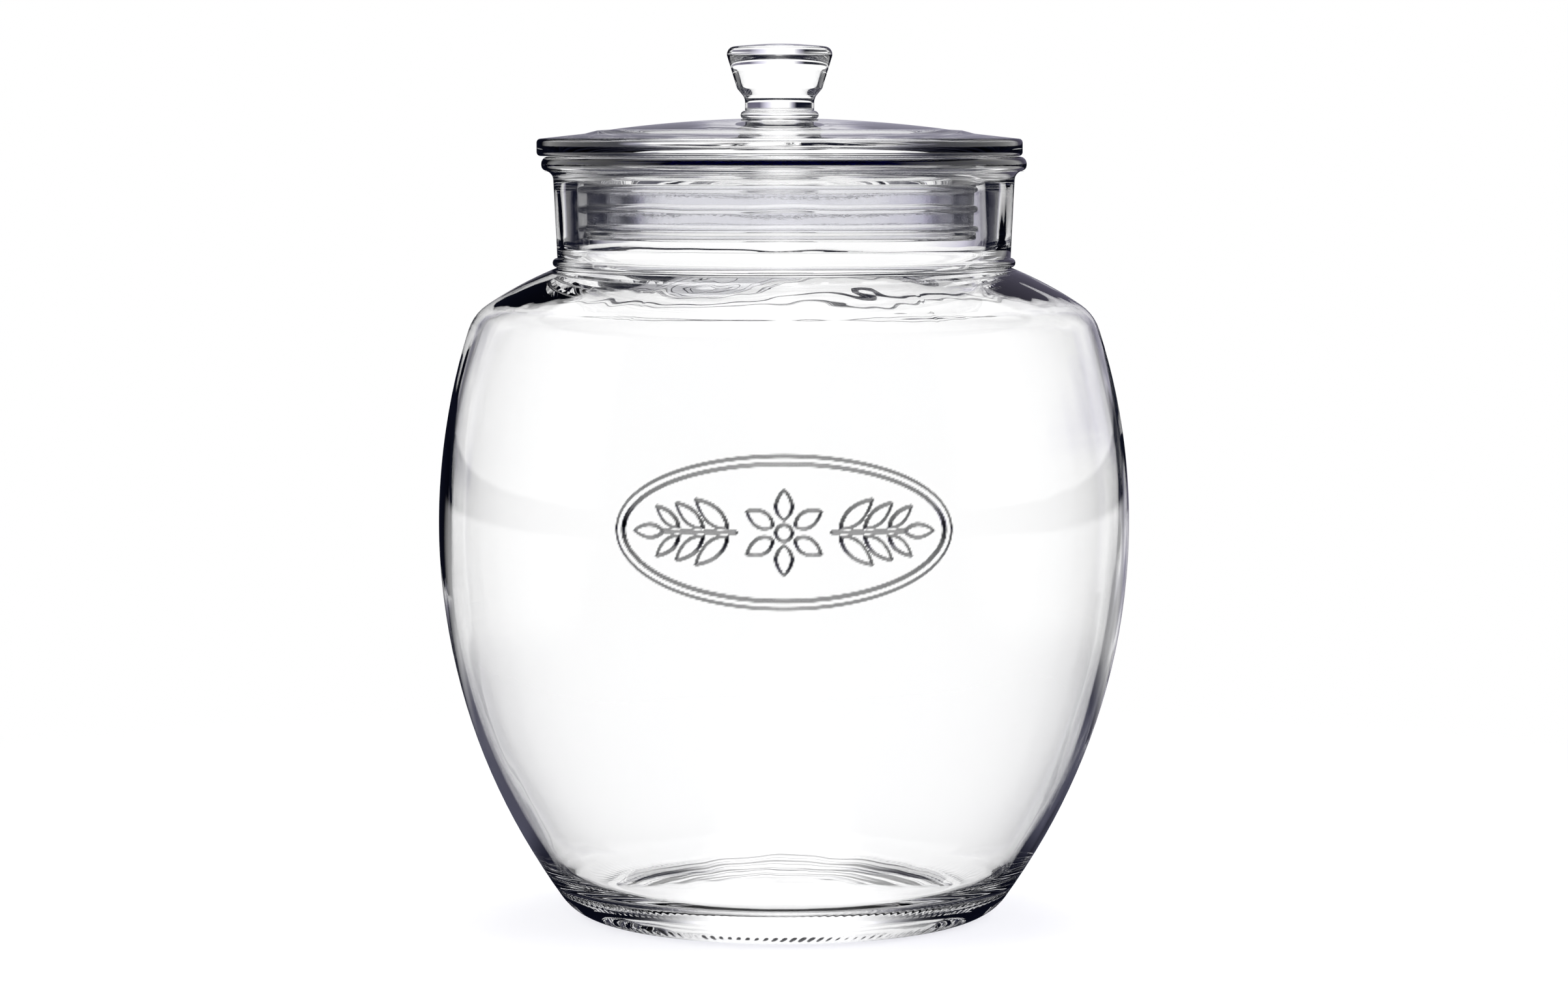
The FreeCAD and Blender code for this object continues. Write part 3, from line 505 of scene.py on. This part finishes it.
def make_jar():
    """The jar as one closed glass surface, outside and inside, with the ornament raised on it."""
    outside, inside = jar_outside(), jar_inside()
    path = joined(outside, inside)
    outer = np.arange(len(path)) < len(outside)
    angles = jar_angles()
    height = path[:, 1:]
    push = np.zeros((len(path), len(angles)))
    # Outside: gentle waves that only ever sink the surface, fading out at the foot and the flange.
    waves = unevenness(angles, path, OUTER_WAVES) - sum(wave[3] for wave in OUTER_WAVES)
    fade = smooth_step(height, 2 * MM, 20 * MM)
    push += np.where(outer[:, None], waves * fade, 0)
    across = np.radians(angles - FRONT)[None, :] * path[:, :1]
    ornament = ornament_height(across, height - MOTIF_UP)
    on_flank = outer[:, None] & (np.abs(height - MOTIF_UP) < MOTIF_HEIGHT)
    ornament = np.where(on_flank, ornament, 0)
    push += ornament * RELIEF
    # Inside: the glass gathers unevenly, most at the shoulder and in the neck.
    shoulder_up = flank_centres()[2][1]
    neck = smooth_step(height, shoulder_up + 20 * MM, shoulder_up + 30 * MM)
    shoulder = smooth_step(height, shoulder_up + 7 * MM, shoulder_up + 22 * MM) * (1 - neck)
    ripple = np.exp(-((height - shoulder_up - 8 * MM) / (9 * MM)) ** 2)
    body = 1 - neck
    calm_floor = smooth_step(height, 14 * MM, 45 * MM)
    inner_push = ((unevenness(angles, path, INNER_WAVES) - FLANK_THINNING) * body * calm_floor
                  + unevenness(angles, path, SHOULDER_WAVES) * ripple
                  + SHOULDER_SWELL * shoulder
                  + unevenness(angles, path, NECK_WAVES) * neck)
    inner_push *= smooth_step(MOUTH_UP - height, 1 * MM, 5 * MM)
    push += np.where(outer[:, None], 0, inner_push)
    piece = turned_surface("jar_glass", path, angles, push)
    # Painted shade: dark lines on the ornament's edges and the flange's upper edge, standing in for
    # what the glass refracts.
    store_painted_shade(piece, np.maximum(ornament_painted_shade(ornament, angles, path), painted_flange_shade(path, outer)))
    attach(piece, "root")
    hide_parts("jar")
    return piece


def dome_run(edge, top, inner_radius, step):
    """The lid's dome as an arc on the axis, from its edge in to the knob's foot."""
    sag = top - edge[1]
    radius = (edge[0] ** 2 + sag ** 2) / (2 * sag)
    centre = (0.0, top - radius)
    first = angle_from(centre, edge)
    last = 90 - math.degrees(math.asin(inner_radius / radius))
    return arc_run(centre, radius, first, last, step)


def knob_run(seat):
    """The knob from the ring at its foot up the waist and the cheek and over the crown."""
    ring = (WAIST, seat + DOME_HEIGHT + KNOB_RING_RISE)
    crown_centre = (0.0, KNOB_UP - KNOB_CROWN)
    edge_out = KNOB - KNOB_EDGE * math.cos(math.radians(CHEEK_LEAN))
    rise = math.sqrt((KNOB_CROWN - KNOB_EDGE) ** 2 - edge_out ** 2)
    edge = (edge_out, crown_centre[1] + rise)
    high = on_circle(edge, KNOB_EDGE, -CHEEK_LEAN)
    low_up = seat + WAIST_UP + 1.4 * MM
    low_out = high[0] - (high[1] - low_up) * math.tan(math.radians(CHEEK_LEAN))
    waist = rounded((
        (WAIST, ring[1] + KNOB_RING, 0),
        (WAIST, seat + WAIST_UP + 0.9 * MM, 3.2 * MM),
        (low_out - 0.15 * MM, low_up + 2.1 * MM, 2.0 * MM),
        (high[0], high[1], 0),
    ), 0.9 * MM, 0.35 * MM)
    joint = angle_from(crown_centre, edge)
    return joined(
        arc_run(ring, KNOB_RING, -62, 80, 0.25 * MM),
        waist,
        arc_run(edge, KNOB_EDGE, -CHEEK_LEAN, joint, 0.35 * MM),
        arc_run(crown_centre, KNOB_CROWN, joint, 90, 1.5 * MM),
    )


def lid_path():
    """From the middle of the plug's hollow out, round the plug and the rim, and up the knob."""
    seat = MOUTH_UP
    ceiling = seat + CEILING
    groove_low = PLUG_FOOT_UP + GROOVE_BEAD
    groove_high = groove_low + SEAL_HEIGHT
    plate = rounded((
        (0, ceiling, 0),
        (SKIRT, ceiling, CEILING_FILLET),
        (SKIRT, PLUG_FOOT_UP, 1.2 * MM),
        (PLUG, PLUG_FOOT_UP, 1.0 * MM),
        (PLUG, groove_low, 0.35 * MM),
        (GROOVE, groove_low, 0.3 * MM),
        (GROOVE, groove_high, 0.3 * MM),
        (PLUG, groove_high, 0.35 * MM),
        (PLUG, seat + FACE_GAP, 1.2 * MM),
        (RIM, seat + FACE_GAP, EDGE_ROUND),
        (RIM, seat + RIM_THICKNESS, EDGE_ROUND),
        (BEVEL_FOOT[0], seat + BEVEL_FOOT[1], 1.6 * MM),
        (BEVEL_TOP[0], seat + BEVEL_TOP[1], 1.2 * MM),
        (DOME_EDGE[0], seat + DOME_EDGE[1], 1.0 * MM),
        (DOME_EDGE[0] - 1.5 * MM, seat + DOME_EDGE[1] + 0.22 * MM, 0),
    ), 2.5 * MM, 0.35 * MM)
    edge = plate[-1]
    dome = dome_run(edge, seat + DOME_HEIGHT, WAIST + KNOB_RING * 0.7, 2.5 * MM)
    return joined(plate, dome, knob_run(seat))


LID_WAVES = (
    (2, 11.0, 0.7, 0.05 * MM),
    (5, -23.0, 1.9, 0.03 * MM),
    (9, 37.0, 0.3, 0.015 * MM),
)


def make_lid():
    """The lid as one closed glass surface: plate, hollow plug and solid knob."""
    path = lid_path()
    angles = np.linspace(0, 360, 180, endpoint=False)
    waves = unevenness(angles, path, LID_WAVES) - sum(wave[3] for wave in LID_WAVES)
    inside = (path[:, :1] < SKIRT + 0.1 * MM) & (path[:, 1:] < MOUTH_UP + CEILING + 0.1 * MM)
    push = np.where(inside, waves, waves * 0.25)
    push *= smooth_step(path[:, :1], 0, 8 * MM)
    piece = turned_surface("lid_glass", path, angles, push, LID_SHIFT)
    # Painted shade: a dark line round the foot of the dome.
    store_painted_shade(piece, painted_bevel_shade(path) * np.ones_like(push))
    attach(piece, "root")
    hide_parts("lid")
    return piece


def make_seal():
    """The seal: a band in the plug's groove with rounded lips, as one closed ring."""
    low, high = seal_low.z + FACE_GAP, seal_high.z - FACE_GAP
    inner, outer = GROOVE + FACE_GAP, GROOVE + SEAL_WALL
    height = np.linspace(low, high, 64)
    reach = np.full_like(height, outer)
    for number in range(3):
        middle = seal_low.z + LIP_ROUND + number * (SEAL_HEIGHT - 2 * LIP_ROUND) / 2
        gap = np.clip(1 - ((height - middle) / (LIP_ROUND + 0.2 * MM)) ** 2, 0, 1)
        reach = np.maximum(reach, outer + (LIP_REACH - outer) * np.sqrt(gap))
    face = np.stack([reach, height], 1)
    back = leg_run((inner, high), (inner, low), MIDDLE)
    ring = joined(leg_run((inner, low), (reach[0], low), FINE), face,
                  leg_run((reach[-1], high), (inner, high), FINE), back)
    angles = np.linspace(0, 360, 200, endpoint=False)
    turn = np.radians(angles)[None, :]
    wobble = 0.12 * MM * np.cos(9 * turn + 1.1) + 0.08 * MM * np.cos(17 * turn + 0.2)
    level = (ring[:-1, 1:] - seal_low.z) / SEAL_HEIGHT
    sway = wobble * np.sin(math.pi * np.clip(level, 0, 1))
    radius = ring[:-1, :1] + 0 * turn
    up = ring[:-1, 1:] + sway
    points = np.stack([radius * np.cos(turn) + LID_SHIFT, radius * np.sin(turn), up], -1)
    piece = mesh_of_ring("seal_silicone", points)
    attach(piece, "root")
    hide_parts("seal")
    return piece


def mesh_of_ring(name, points):
    """A closed ring-shaped surface from a grid of points that wraps round both ways."""
    rows, columns = points.shape[:2]
    row, column = np.meshgrid(np.arange(rows), np.arange(columns), indexing="ij")
    beside, above = (column + 1) % columns, (row + 1) % rows
    quads = np.stack([row * columns + column, row * columns + beside,
                      above * columns + beside, above * columns + column], -1)
    mesh = bpy.data.meshes.new(name)
    mesh.from_pydata(points.reshape(-1, 3).tolist(), [], quads.reshape(-1, 4).tolist())
    mesh.update()
    mesh.shade_smooth()
    return placed(name, mesh)


# ---- materials ----

WHITE = (1.0, 1.0, 1.0)
BACKDROP = (1.17, 1.17, 1.17)  # a little over white, to make up for what the glass mirrors away
FILL = (0.55, 0.55, 0.56)
INK = (0.006, 0.007, 0.016)
# The colour of the painted shade on the glass's edges.
PAINTED_SHADE_COLOUR = (0.0, 0.0, 0.0004)  # glass shows the square root of this
SLATE = (0.16, 0.15, 0.21)
MIST = (0.42, 0.41, 0.50)
LAVENDER = (0.80, 0.78, 0.92)
DUSK = (0.07, 0.07, 0.10)
GLASS_SHADOW = (0.93, 0.93, 0.95)
SEAL_SHADOW = (0.85, 0.85, 0.88)
PALE_FLOOR = (0.94, 0.94, 0.94)

class Nodes:
    """Short words for building a node tree."""

    def __init__(self, tree):
        self.tree = tree
        tree.nodes.clear()

    def add(self, kind, **settings):
        node = self.tree.nodes.new(kind)
        for name, value in settings.items():
            setattr(node, name, value)
        return node

    def link(self, start, end):
        self.tree.links.new(start, end)

    def math(self, operation, first, second):
        """A math node whose inputs are sockets or plain numbers."""
        node = self.add("ShaderNodeMath", operation=operation)
        for socket, value in zip(node.inputs, (first, second)):
            if isinstance(value, (int, float)):
                socket.default_value = value
            else:
                self.link(value, socket)
        return node.outputs[0]

    def mix(self, share, first, second):
        """A colour mix whose colours are sockets or plain colours."""
        node = self.add("ShaderNodeMix", data_type="RGBA")
        if isinstance(share, (int, float)):
            node.inputs["Factor"].default_value = share
        else:
            self.link(share, node.inputs["Factor"])
        for socket, value in zip((node.inputs[6], node.inputs[7]), (first, second)):
            if isinstance(value, tuple):
                socket.default_value = (*value, 1)
            else:
                self.link(value, socket)
        return node.outputs[2]


def new_group(name, given, made):
    """An empty node group with named sockets, its node words, and the sockets of its two ends."""
    tree = bpy.data.node_groups.new(name, "ShaderNodeTree")
    for side, sockets in (("INPUT", given), ("OUTPUT", made)):
        for label, kind in sockets:
            tree.interface.new_socket(label, in_out=side, socket_type="NodeSocket" + kind)
    nodes = Nodes(tree)
    return tree, nodes, nodes.add("NodeGroupInput").outputs, nodes.add("NodeGroupOutput").inputs


def streaks_and_painted_shade_group():
    """What both glasses share: fine drawn streaks, and a painted dark tint of shade where a mask
    says so.
    """
    tree, nodes, given, made = new_group(
        "streaks_and_painted_shade",
        (("Place", "Vector"), ("Stretch", "Vector"), ("Detail", "Float"), ("Edge", "Float"),
         ("Painted Shade Colour", "Color")),
        (("Height", "Float"), ("Tint", "Color")),
    )
    stretched = nodes.add("ShaderNodeVectorMath", operation="MULTIPLY")
    nodes.link(given["Place"], stretched.inputs[0])
    nodes.link(given["Stretch"], stretched.inputs[1])
    streaks = nodes.add("ShaderNodeTexNoise")
    streaks.inputs["Scale"].default_value = 1.0
    nodes.link(given["Detail"], streaks.inputs["Detail"])
    nodes.link(stretched.outputs[0], streaks.inputs["Vector"])
    nodes.link(streaks.outputs["Fac"], made["Height"])
    nodes.link(nodes.mix(given["Edge"], WHITE, given["Painted Shade Colour"]), made["Tint"])
    return tree


def new_material(name):
    """A material and its empty node tree."""
    material = bpy.data.materials.new(name)
    material.use_nodes = True
    return material, Nodes(material.node_tree)


RIB_SLANT = 900.0  # radians per metre of height
RIB_FADE = (2.0 * MM, 3.5 * MM)  # heights between which the ribs fade out
RIB_DEPTH = 0.05  # as a share of the glass's bump distance


def base_ribs(nodes, place, count):
    """Short slanting ribs round the foot: a sine of the angle and height, only near the ground."""
    split = nodes.add("ShaderNodeSeparateXYZ")
    nodes.link(place, split.inputs[0])
    angle = nodes.math("ARCTAN2", split.outputs["X"], split.outputs["Y"])
    turn = nodes.math("MULTIPLY", angle, float(count))
    slant = nodes.math("MULTIPLY", split.outputs["Z"], RIB_SLANT)
    rib = nodes.math("SINE", nodes.math("ADD", turn, slant), 0)
    low = nodes.math("SUBTRACT", 1, step_node(nodes, split.outputs["Z"], *RIB_FADE))
    reach = nodes.add("ShaderNodeVectorMath", operation="LENGTH")
    nodes.link(place, reach.inputs[0])
    outer = step_node(nodes, reach.outputs["Value"], FOOT - 2 * MM, FOOT)
    strength = nodes.math("MULTIPLY", outer, RIB_DEPTH)
    return nodes.math("MULTIPLY", nodes.math("MULTIPLY", rib, low), strength)


def finish_clear(nodes, shader, shadow):
    """Ends a clear material: its shader, or a thin tint for shadow rays so they pass."""
    through = nodes.add("ShaderNodeBsdfTransparent")
    through.inputs["Color"].default_value = (*shadow, 1)
    path = nodes.add("ShaderNodeLightPath")
    either = nodes.add("ShaderNodeMixShader")
    nodes.link(path.outputs["Is Shadow Ray"], either.inputs[0])
    nodes.link(shader.outputs[0], either.inputs[1])
    nodes.link(through.outputs[0], either.inputs[2])
    out = nodes.add("ShaderNodeOutputMaterial")
    nodes.link(either.outputs[0], out.inputs["Surface"])


def clear_glass(name, pressed, stretch, depth, detail, ribs=0):
    """Clear glass with fine drawn streaks, painted dark lines of shade from its mask, and a light
    shadow.
    """
    material, nodes = new_material(name)
    glass = nodes.add("ShaderNodeBsdfPrincipled")
    glass.inputs["Roughness"].default_value = 0.0
    glass.inputs["IOR"].default_value = 1.5
    glass.inputs["Transmission Weight"].default_value = 1.0
    # The mask of painted shade on the glass's edges.
    edge = nodes.add("ShaderNodeAttribute", attribute_name="painted_shade_mask")
    place = nodes.add("ShaderNodeTexCoord")
    look = nodes.add("ShaderNodeGroup", node_tree=pressed)
    look.inputs["Stretch"].default_value = stretch
    look.inputs["Detail"].default_value = detail
    look.inputs["Painted Shade Colour"].default_value = (*PAINTED_SHADE_COLOUR, 1)
    nodes.link(place.outputs["Object"], look.inputs["Place"])
    nodes.link(edge.outputs["Fac"], look.inputs["Edge"])
    nodes.link(look.outputs["Tint"], glass.inputs["Base Color"])
    bump = nodes.add("ShaderNodeBump")
    bump.inputs["Strength"].default_value = 1.0
    bump.inputs["Distance"].default_value = depth
    height = look.outputs["Height"]
    if ribs:
        height = nodes.math("ADD", height, base_ribs(nodes, place.outputs["Object"], ribs))
    nodes.link(height, bump.inputs["Height"])
    nodes.link(bump.outputs[0], glass.inputs["Normal"])
    finish_clear(nodes, glass, GLASS_SHADOW)
    return material


def silicone(name):
    """Milky translucent silicone with a fine grain."""
    material, nodes = new_material(name)
    rubber = nodes.add("ShaderNodeBsdfPrincipled")
    rubber.inputs["Base Color"].default_value = (0.95, 0.95, 0.98, 1)
    rubber.inputs["Roughness"].default_value = 0.07
    rubber.inputs["IOR"].default_value = 1.41
    rubber.inputs["Transmission Weight"].default_value = 1.0
    place = nodes.add("ShaderNodeTexCoord")
    grain = nodes.add("ShaderNodeTexNoise")
    grain.inputs["Scale"].default_value = 900.0
    grain.inputs["Detail"].default_value = 2.0
    nodes.link(place.outputs["Object"], grain.inputs["Vector"])
    bump = nodes.add("ShaderNodeBump")
    bump.inputs["Strength"].default_value = 0.5
    bump.inputs["Distance"].default_value = 0.03 * MM
    nodes.link(grain.outputs["Fac"], bump.inputs["Height"])
    nodes.link(bump.outputs[0], rubber.inputs["Normal"])
    finish_clear(nodes, rubber, SEAL_SHADOW)
    return material


# ---- the studio ----

# What glass shows of the studio: degrees from the backdrop's middle, towards +X, and a colour.
# A ray that went straight through, one mirrored inside the glass and one mirrored on its outside
# each have a ring of their own, which no real room has: it stands in for cards close to the glass.
SEEN_THROUGH = (
    (-180, BACKDROP), (-66, BACKDROP), (-56, INK), (-20, INK), (-15, MIST), (-10, BACKDROP),
    (7, BACKDROP), (14, LAVENDER), (25, SLATE), (56, SLATE), (66, BACKDROP), (180, BACKDROP),
)
SEEN_INSIDE = (
    (-180, INK), (-27, INK), (-22, MIST), (-18, BACKDROP),
    (20, BACKDROP), (23, MIST), (28, INK), (180, INK),
)
SEEN_INSIDE_LEVEL = (
    (-180, INK), (2, INK), (3, MIST), (4, BACKDROP),
    (6, BACKDROP), (7, MIST), (8, INK), (180, INK),
)
SEEN_OUTSIDE = (
    (-180, INK), (-120, INK), (-105, BACKDROP), (-40, BACKDROP), (-28, INK), (-8, INK), (0, MIST),
    (8, SLATE), (24, SLATE), (34, BACKDROP), (105, BACKDROP), (125, INK), (180, INK),
)


def ring_of_light(nodes, azimuth, stops):
    """A colour for each direction round the studio, blended from stop to stop."""
    share = nodes.add("ShaderNodeMapRange")
    share.inputs["From Min"].default_value = -math.pi
    share.inputs["From Max"].default_value = math.pi
    nodes.link(azimuth, share.inputs["Value"])
    ramp = nodes.add("ShaderNodeValToRGB")
    marks = ramp.color_ramp.elements
    while len(marks) < len(stops):
        marks.new(0.5)
    for mark, (degrees, colour) in zip(marks, stops):
        mark.position = degrees / 360 + 0.5
        mark.color = (*(part / BACKDROP[0] for part in colour), 1)
    nodes.link(share.outputs["Result"], ramp.inputs["Fac"])
    bright = nodes.add("ShaderNodeVectorMath", operation="SCALE")
    bright.inputs["Scale"].default_value = BACKDROP[0]
    nodes.link(ramp.outputs["Color"], bright.inputs[0])
    return bright.outputs["Vector"]


def step_node(nodes, value, low, high):
    """0 below low, 1 above high, smooth between them."""
    step = nodes.add("ShaderNodeMapRange", interpolation_type="SMOOTHSTEP")
    step.inputs["From Min"].default_value = low
    step.inputs["From Max"].default_value = high
    nodes.link(value, step.inputs["Value"])
    return step.outputs["Result"]


def studio_group():
    """What glass shows of the studio: seen through it, mirrored inside it or on its outside.

    Level is one where a ray runs level with the table, where only dark studio is mirrored.
    """
    tree, nodes, given, made = new_group(
        "studio",
        (("Direction", "Vector"), ("Mirrored", "Float"), ("Entered", "Float"),
         ("Level", "Float")),
        (("Colour", "Color"), ("Azimuth", "Float")),
    )
    split = nodes.add("ShaderNodeSeparateXYZ")
    nodes.link(given["Direction"], split.inputs[0])
    azimuth = nodes.math("ARCTAN2", split.outputs["X"], split.outputs["Y"])
    outside = nodes.mix(given["Level"], ring_of_light(nodes, azimuth, SEEN_OUTSIDE), INK)
    inside = nodes.mix(given["Level"], ring_of_light(nodes, azimuth, SEEN_INSIDE),
                       ring_of_light(nodes, azimuth, SEEN_INSIDE_LEVEL))
    mirror = nodes.mix(given["Entered"], outside, inside)
    through = ring_of_light(nodes, azimuth, SEEN_THROUGH)
    nodes.link(nodes.mix(given["Mirrored"], through, mirror), made["Colour"])
    nodes.link(azimuth, made["Azimuth"])
    return tree


def studio_light(nodes, studio, vector, level):
    """The studio seen along one direction: its sockets, the light path, and if it was mirrored."""
    path = nodes.add("ShaderNodeLightPath")
    mirrored = nodes.math("GREATER_THAN", path.outputs["Glossy Depth"], 0.5)
    entered = nodes.math("GREATER_THAN", path.outputs["Transmission Depth"], 0.5)
    light = nodes.add("ShaderNodeGroup", node_tree=studio)
    nodes.link(vector, light.inputs["Direction"])
    nodes.link(mirrored, light.inputs["Mirrored"])
    nodes.link(entered, light.inputs["Entered"])
    nodes.link(level, light.inputs["Level"])
    return light.outputs, path, mirrored


LEVEL_RISE = (0.004, 0.016)  # upward share of a direction, where level gives way to rising
CEILING_RISE = (0.06, 0.11)  # where the ring gives way to the ceiling
MIRROR_RISE = 0.5  # how much higher the ceiling begins for mirrored rays
CEILING_TURN = (0.45, 0.8)  # radians aside, where the mirrored ceiling turns dark
FLAG_EDGES = (1.0, 1.08, 1.35, 1.42)  # radians aside, of the dark flag above the ring


def make_world(studio):
    """A white backdrop with dark flags on either side, and a ceiling that is white ahead."""
    world = bpy.data.worlds.new("studio")
    bpy.context.scene.world = world
    world.use_nodes = True
    nodes = Nodes(world.node_tree)
    place = nodes.add("ShaderNodeTexCoord")
    split = nodes.add("ShaderNodeSeparateXYZ")
    nodes.link(place.outputs["Generated"], split.inputs[0])
    level = nodes.math("SUBTRACT", 1, step_node(nodes, split.outputs["Z"], *LEVEL_RISE))
    light, path, mirrored = studio_light(nodes, studio, place.outputs["Generated"], level)
    turned = nodes.math("ABSOLUTE", light["Azimuth"], 0)
    outline = nodes.math("SUBTRACT", step_node(nodes, turned, *FLAG_EDGES[:2]),
                         step_node(nodes, turned, *FLAG_EDGES[2:]))
    ceiling = nodes.mix(step_node(nodes, turned, *CEILING_TURN), BACKDROP, INK)
    above = nodes.mix(mirrored, nodes.mix(outline, BACKDROP, INK), ceiling)
    rise = nodes.math("SUBTRACT", split.outputs["Z"], nodes.math("MULTIPLY", mirrored, MIRROR_RISE))
    colour = nodes.mix(step_node(nodes, rise, *CEILING_RISE), light["Colour"], above)
    colour = nodes.mix(path.outputs["Is Diffuse Ray"], colour, FILL)
    colour = nodes.mix(path.outputs["Is Camera Ray"], colour, WHITE)
    background = nodes.add("ShaderNodeBackground")
    nodes.link(colour, background.inputs["Color"])
    out = nodes.add("ShaderNodeOutputWorld")
    nodes.link(background.outputs[0], out.inputs["Surface"])


FLOOR_REACH = 6.0
LEVEL_REACH = (1.6, 2.1)  # metres out, past which a ray to the floor runs level
OPEN_REACH = (1.5, 2.1)  # how far out the floor is plain white, seen through the glass
MIRRORED_REACH = (0.25, 0.45)  # and how far out in a mirrored ray
UNDER_REACH = (0.075, 0.11)  # where the dark under the jar gives way to dusk
ASIDE_REACH = (0.015, 0.04)  # sideways, where mirrored white gives way to that dark
GLOW_REACH = (0.13, 0.45)  # where the painted floor gives way to a glowing one
GLOW_THROUGH = 0.85  # how much the floor glows when seen through the glass


def make_floor(studio):
    """A pale floor that takes the object's shadow and fades to white away from it."""
    angles = np.radians(np.linspace(0, 360, 96, endpoint=False))
    mesh = bpy.data.meshes.new("floor")
    rim = FLOOR_REACH * np.stack([np.cos(angles), np.sin(angles), 0 * angles], 1)
    mesh.from_pydata(rim.tolist(), [], [list(range(len(angles)))])
    floor = placed("floor", mesh)
    material, nodes = new_material("pale_floor")
    place = nodes.add("ShaderNodeTexCoord")
    length = nodes.add("ShaderNodeVectorMath", operation="LENGTH")
    nodes.link(place.outputs["Object"], length.inputs[0])
    distance = length.outputs["Value"]
    level = step_node(nodes, distance, *LEVEL_REACH)
    light, path, mirrored = studio_light(nodes, studio, place.outputs["Object"], level)
    near_through = nodes.math("SUBTRACT", 1, step_node(nodes, distance, *OPEN_REACH))
    near_mirrored = nodes.math("SUBTRACT", 1, step_node(nodes, distance, *MIRRORED_REACH))
    open_floor = nodes.mix(mirrored, near_through, near_mirrored)
    place_split = nodes.add("ShaderNodeSeparateXYZ")
    nodes.link(place.outputs["Object"], place_split.inputs[0])
    aside = nodes.math("ABSOLUTE", place_split.outputs["X"], 0)
    # Painted shadow on the floor, seen only in mirrored rays: dark under and beside the jar, with a
    # narrow white strip along its middle.
    shaded = nodes.mix(step_node(nodes, distance, *UNDER_REACH), INK, DUSK)
    shaded = nodes.mix(step_node(nodes, aside, *ASIDE_REACH), BACKDROP, shaded)
    colour = nodes.mix(open_floor, light["Colour"], nodes.mix(mirrored, BACKDROP, shaded))
    colour = nodes.mix(path.outputs["Is Diffuse Ray"], colour, FILL)
    colour = nodes.mix(path.outputs["Is Camera Ray"], colour, WHITE)
    shine = nodes.add("ShaderNodeEmission")
    nodes.link(colour, shine.inputs["Color"])
    paint = nodes.add("ShaderNodeBsdfDiffuse")
    nodes.link(nodes.mix(mirrored, PALE_FLOOR, colour), paint.inputs["Color"])
    either = nodes.add("ShaderNodeMixShader")
    seen_through = nodes.math("MULTIPLY", path.outputs["Is Transmission Ray"], GLOW_THROUGH)
    glow = nodes.math("MAXIMUM", step_node(nodes, distance, *GLOW_REACH), seen_through)
    nodes.link(glow, either.inputs[0])
    nodes.link(paint.outputs[0], either.inputs[1])
    nodes.link(shine.outputs[0], either.inputs[2])
    out = nodes.add("ShaderNodeOutputMaterial")
    nodes.link(either.outputs[0], out.inputs["Surface"])
    mesh.materials.append(material)


def make_lamp(name, place, size, power):
    """A large soft lamp aimed at the jar's middle."""
    data = bpy.data.lights.new(name, "AREA")
    data.shape = "DISK"
    data.size = size
    data.energy = power
    lamp = placed(name, data)
    lamp.visible_glossy = False
    lamp.visible_transmission = False
    lamp.location = place
    aim = np.array([0, 0, 0.12]) - np.array(place)
    yaw = math.atan2(aim[0], -aim[1])
    pitch = math.atan2(math.hypot(aim[0], aim[1]), -aim[2])
    lamp.rotation_euler = (pitch, 0, math.pi + yaw) if aim[2] < 0 else (pitch, 0, yaw)


CAMERA_DISTANCE = 1.2
CAMERA_UP = 0.2132
AIM_UP = 0.1162
LENS = 100.17


def make_camera():
    """A long lens in front of the jar, level with its lid and tipped down a little."""
    data = bpy.data.cameras.new("camera")
    data.lens = LENS
    data.sensor_width = 36
    camera = placed("camera", data)
    camera.location = (0, -CAMERA_DISTANCE, CAMERA_UP)
    tip = math.atan2(CAMERA_UP - AIM_UP, CAMERA_DISTANCE)
    camera.rotation_euler = (math.pi / 2 - tip, 0, 0)
    bpy.context.scene.camera = camera


def main():
    scene = bpy.context.scene
    scene.view_settings.view_transform = "Standard"
    scene.cycles.max_bounces = 40
    scene.cycles.transmission_bounces = 32
    scene.cycles.glossy_bounces = 12
    scene.cycles.transparent_max_bounces = 32
    jar = make_jar()
    lid = make_lid()
    seal = make_seal()
    pressed = streaks_and_painted_shade_group()
    jar.data.materials.append(clear_glass("jar_glass", pressed, (35, 35, 9), 0.25 * MM, 2.0, 150))
    lid.data.materials.append(clear_glass("lid_glass", pressed, (30, 30, 30), 0.08 * MM, 3.0))
    seal.data.materials.append(silicone("seal_silicone"))
    studio = studio_group()
    make_world(studio)
    make_floor(studio)
    make_lamp("key", (-1.3, -1.1, 1.8), 1.2, 26)
    make_lamp("fill", (1.5, -0.9, 1.3), 1.4, 14)
    make_lamp("top", (0.1, 0.9, 2.0), 1.4, 16)
    make_camera()


main()
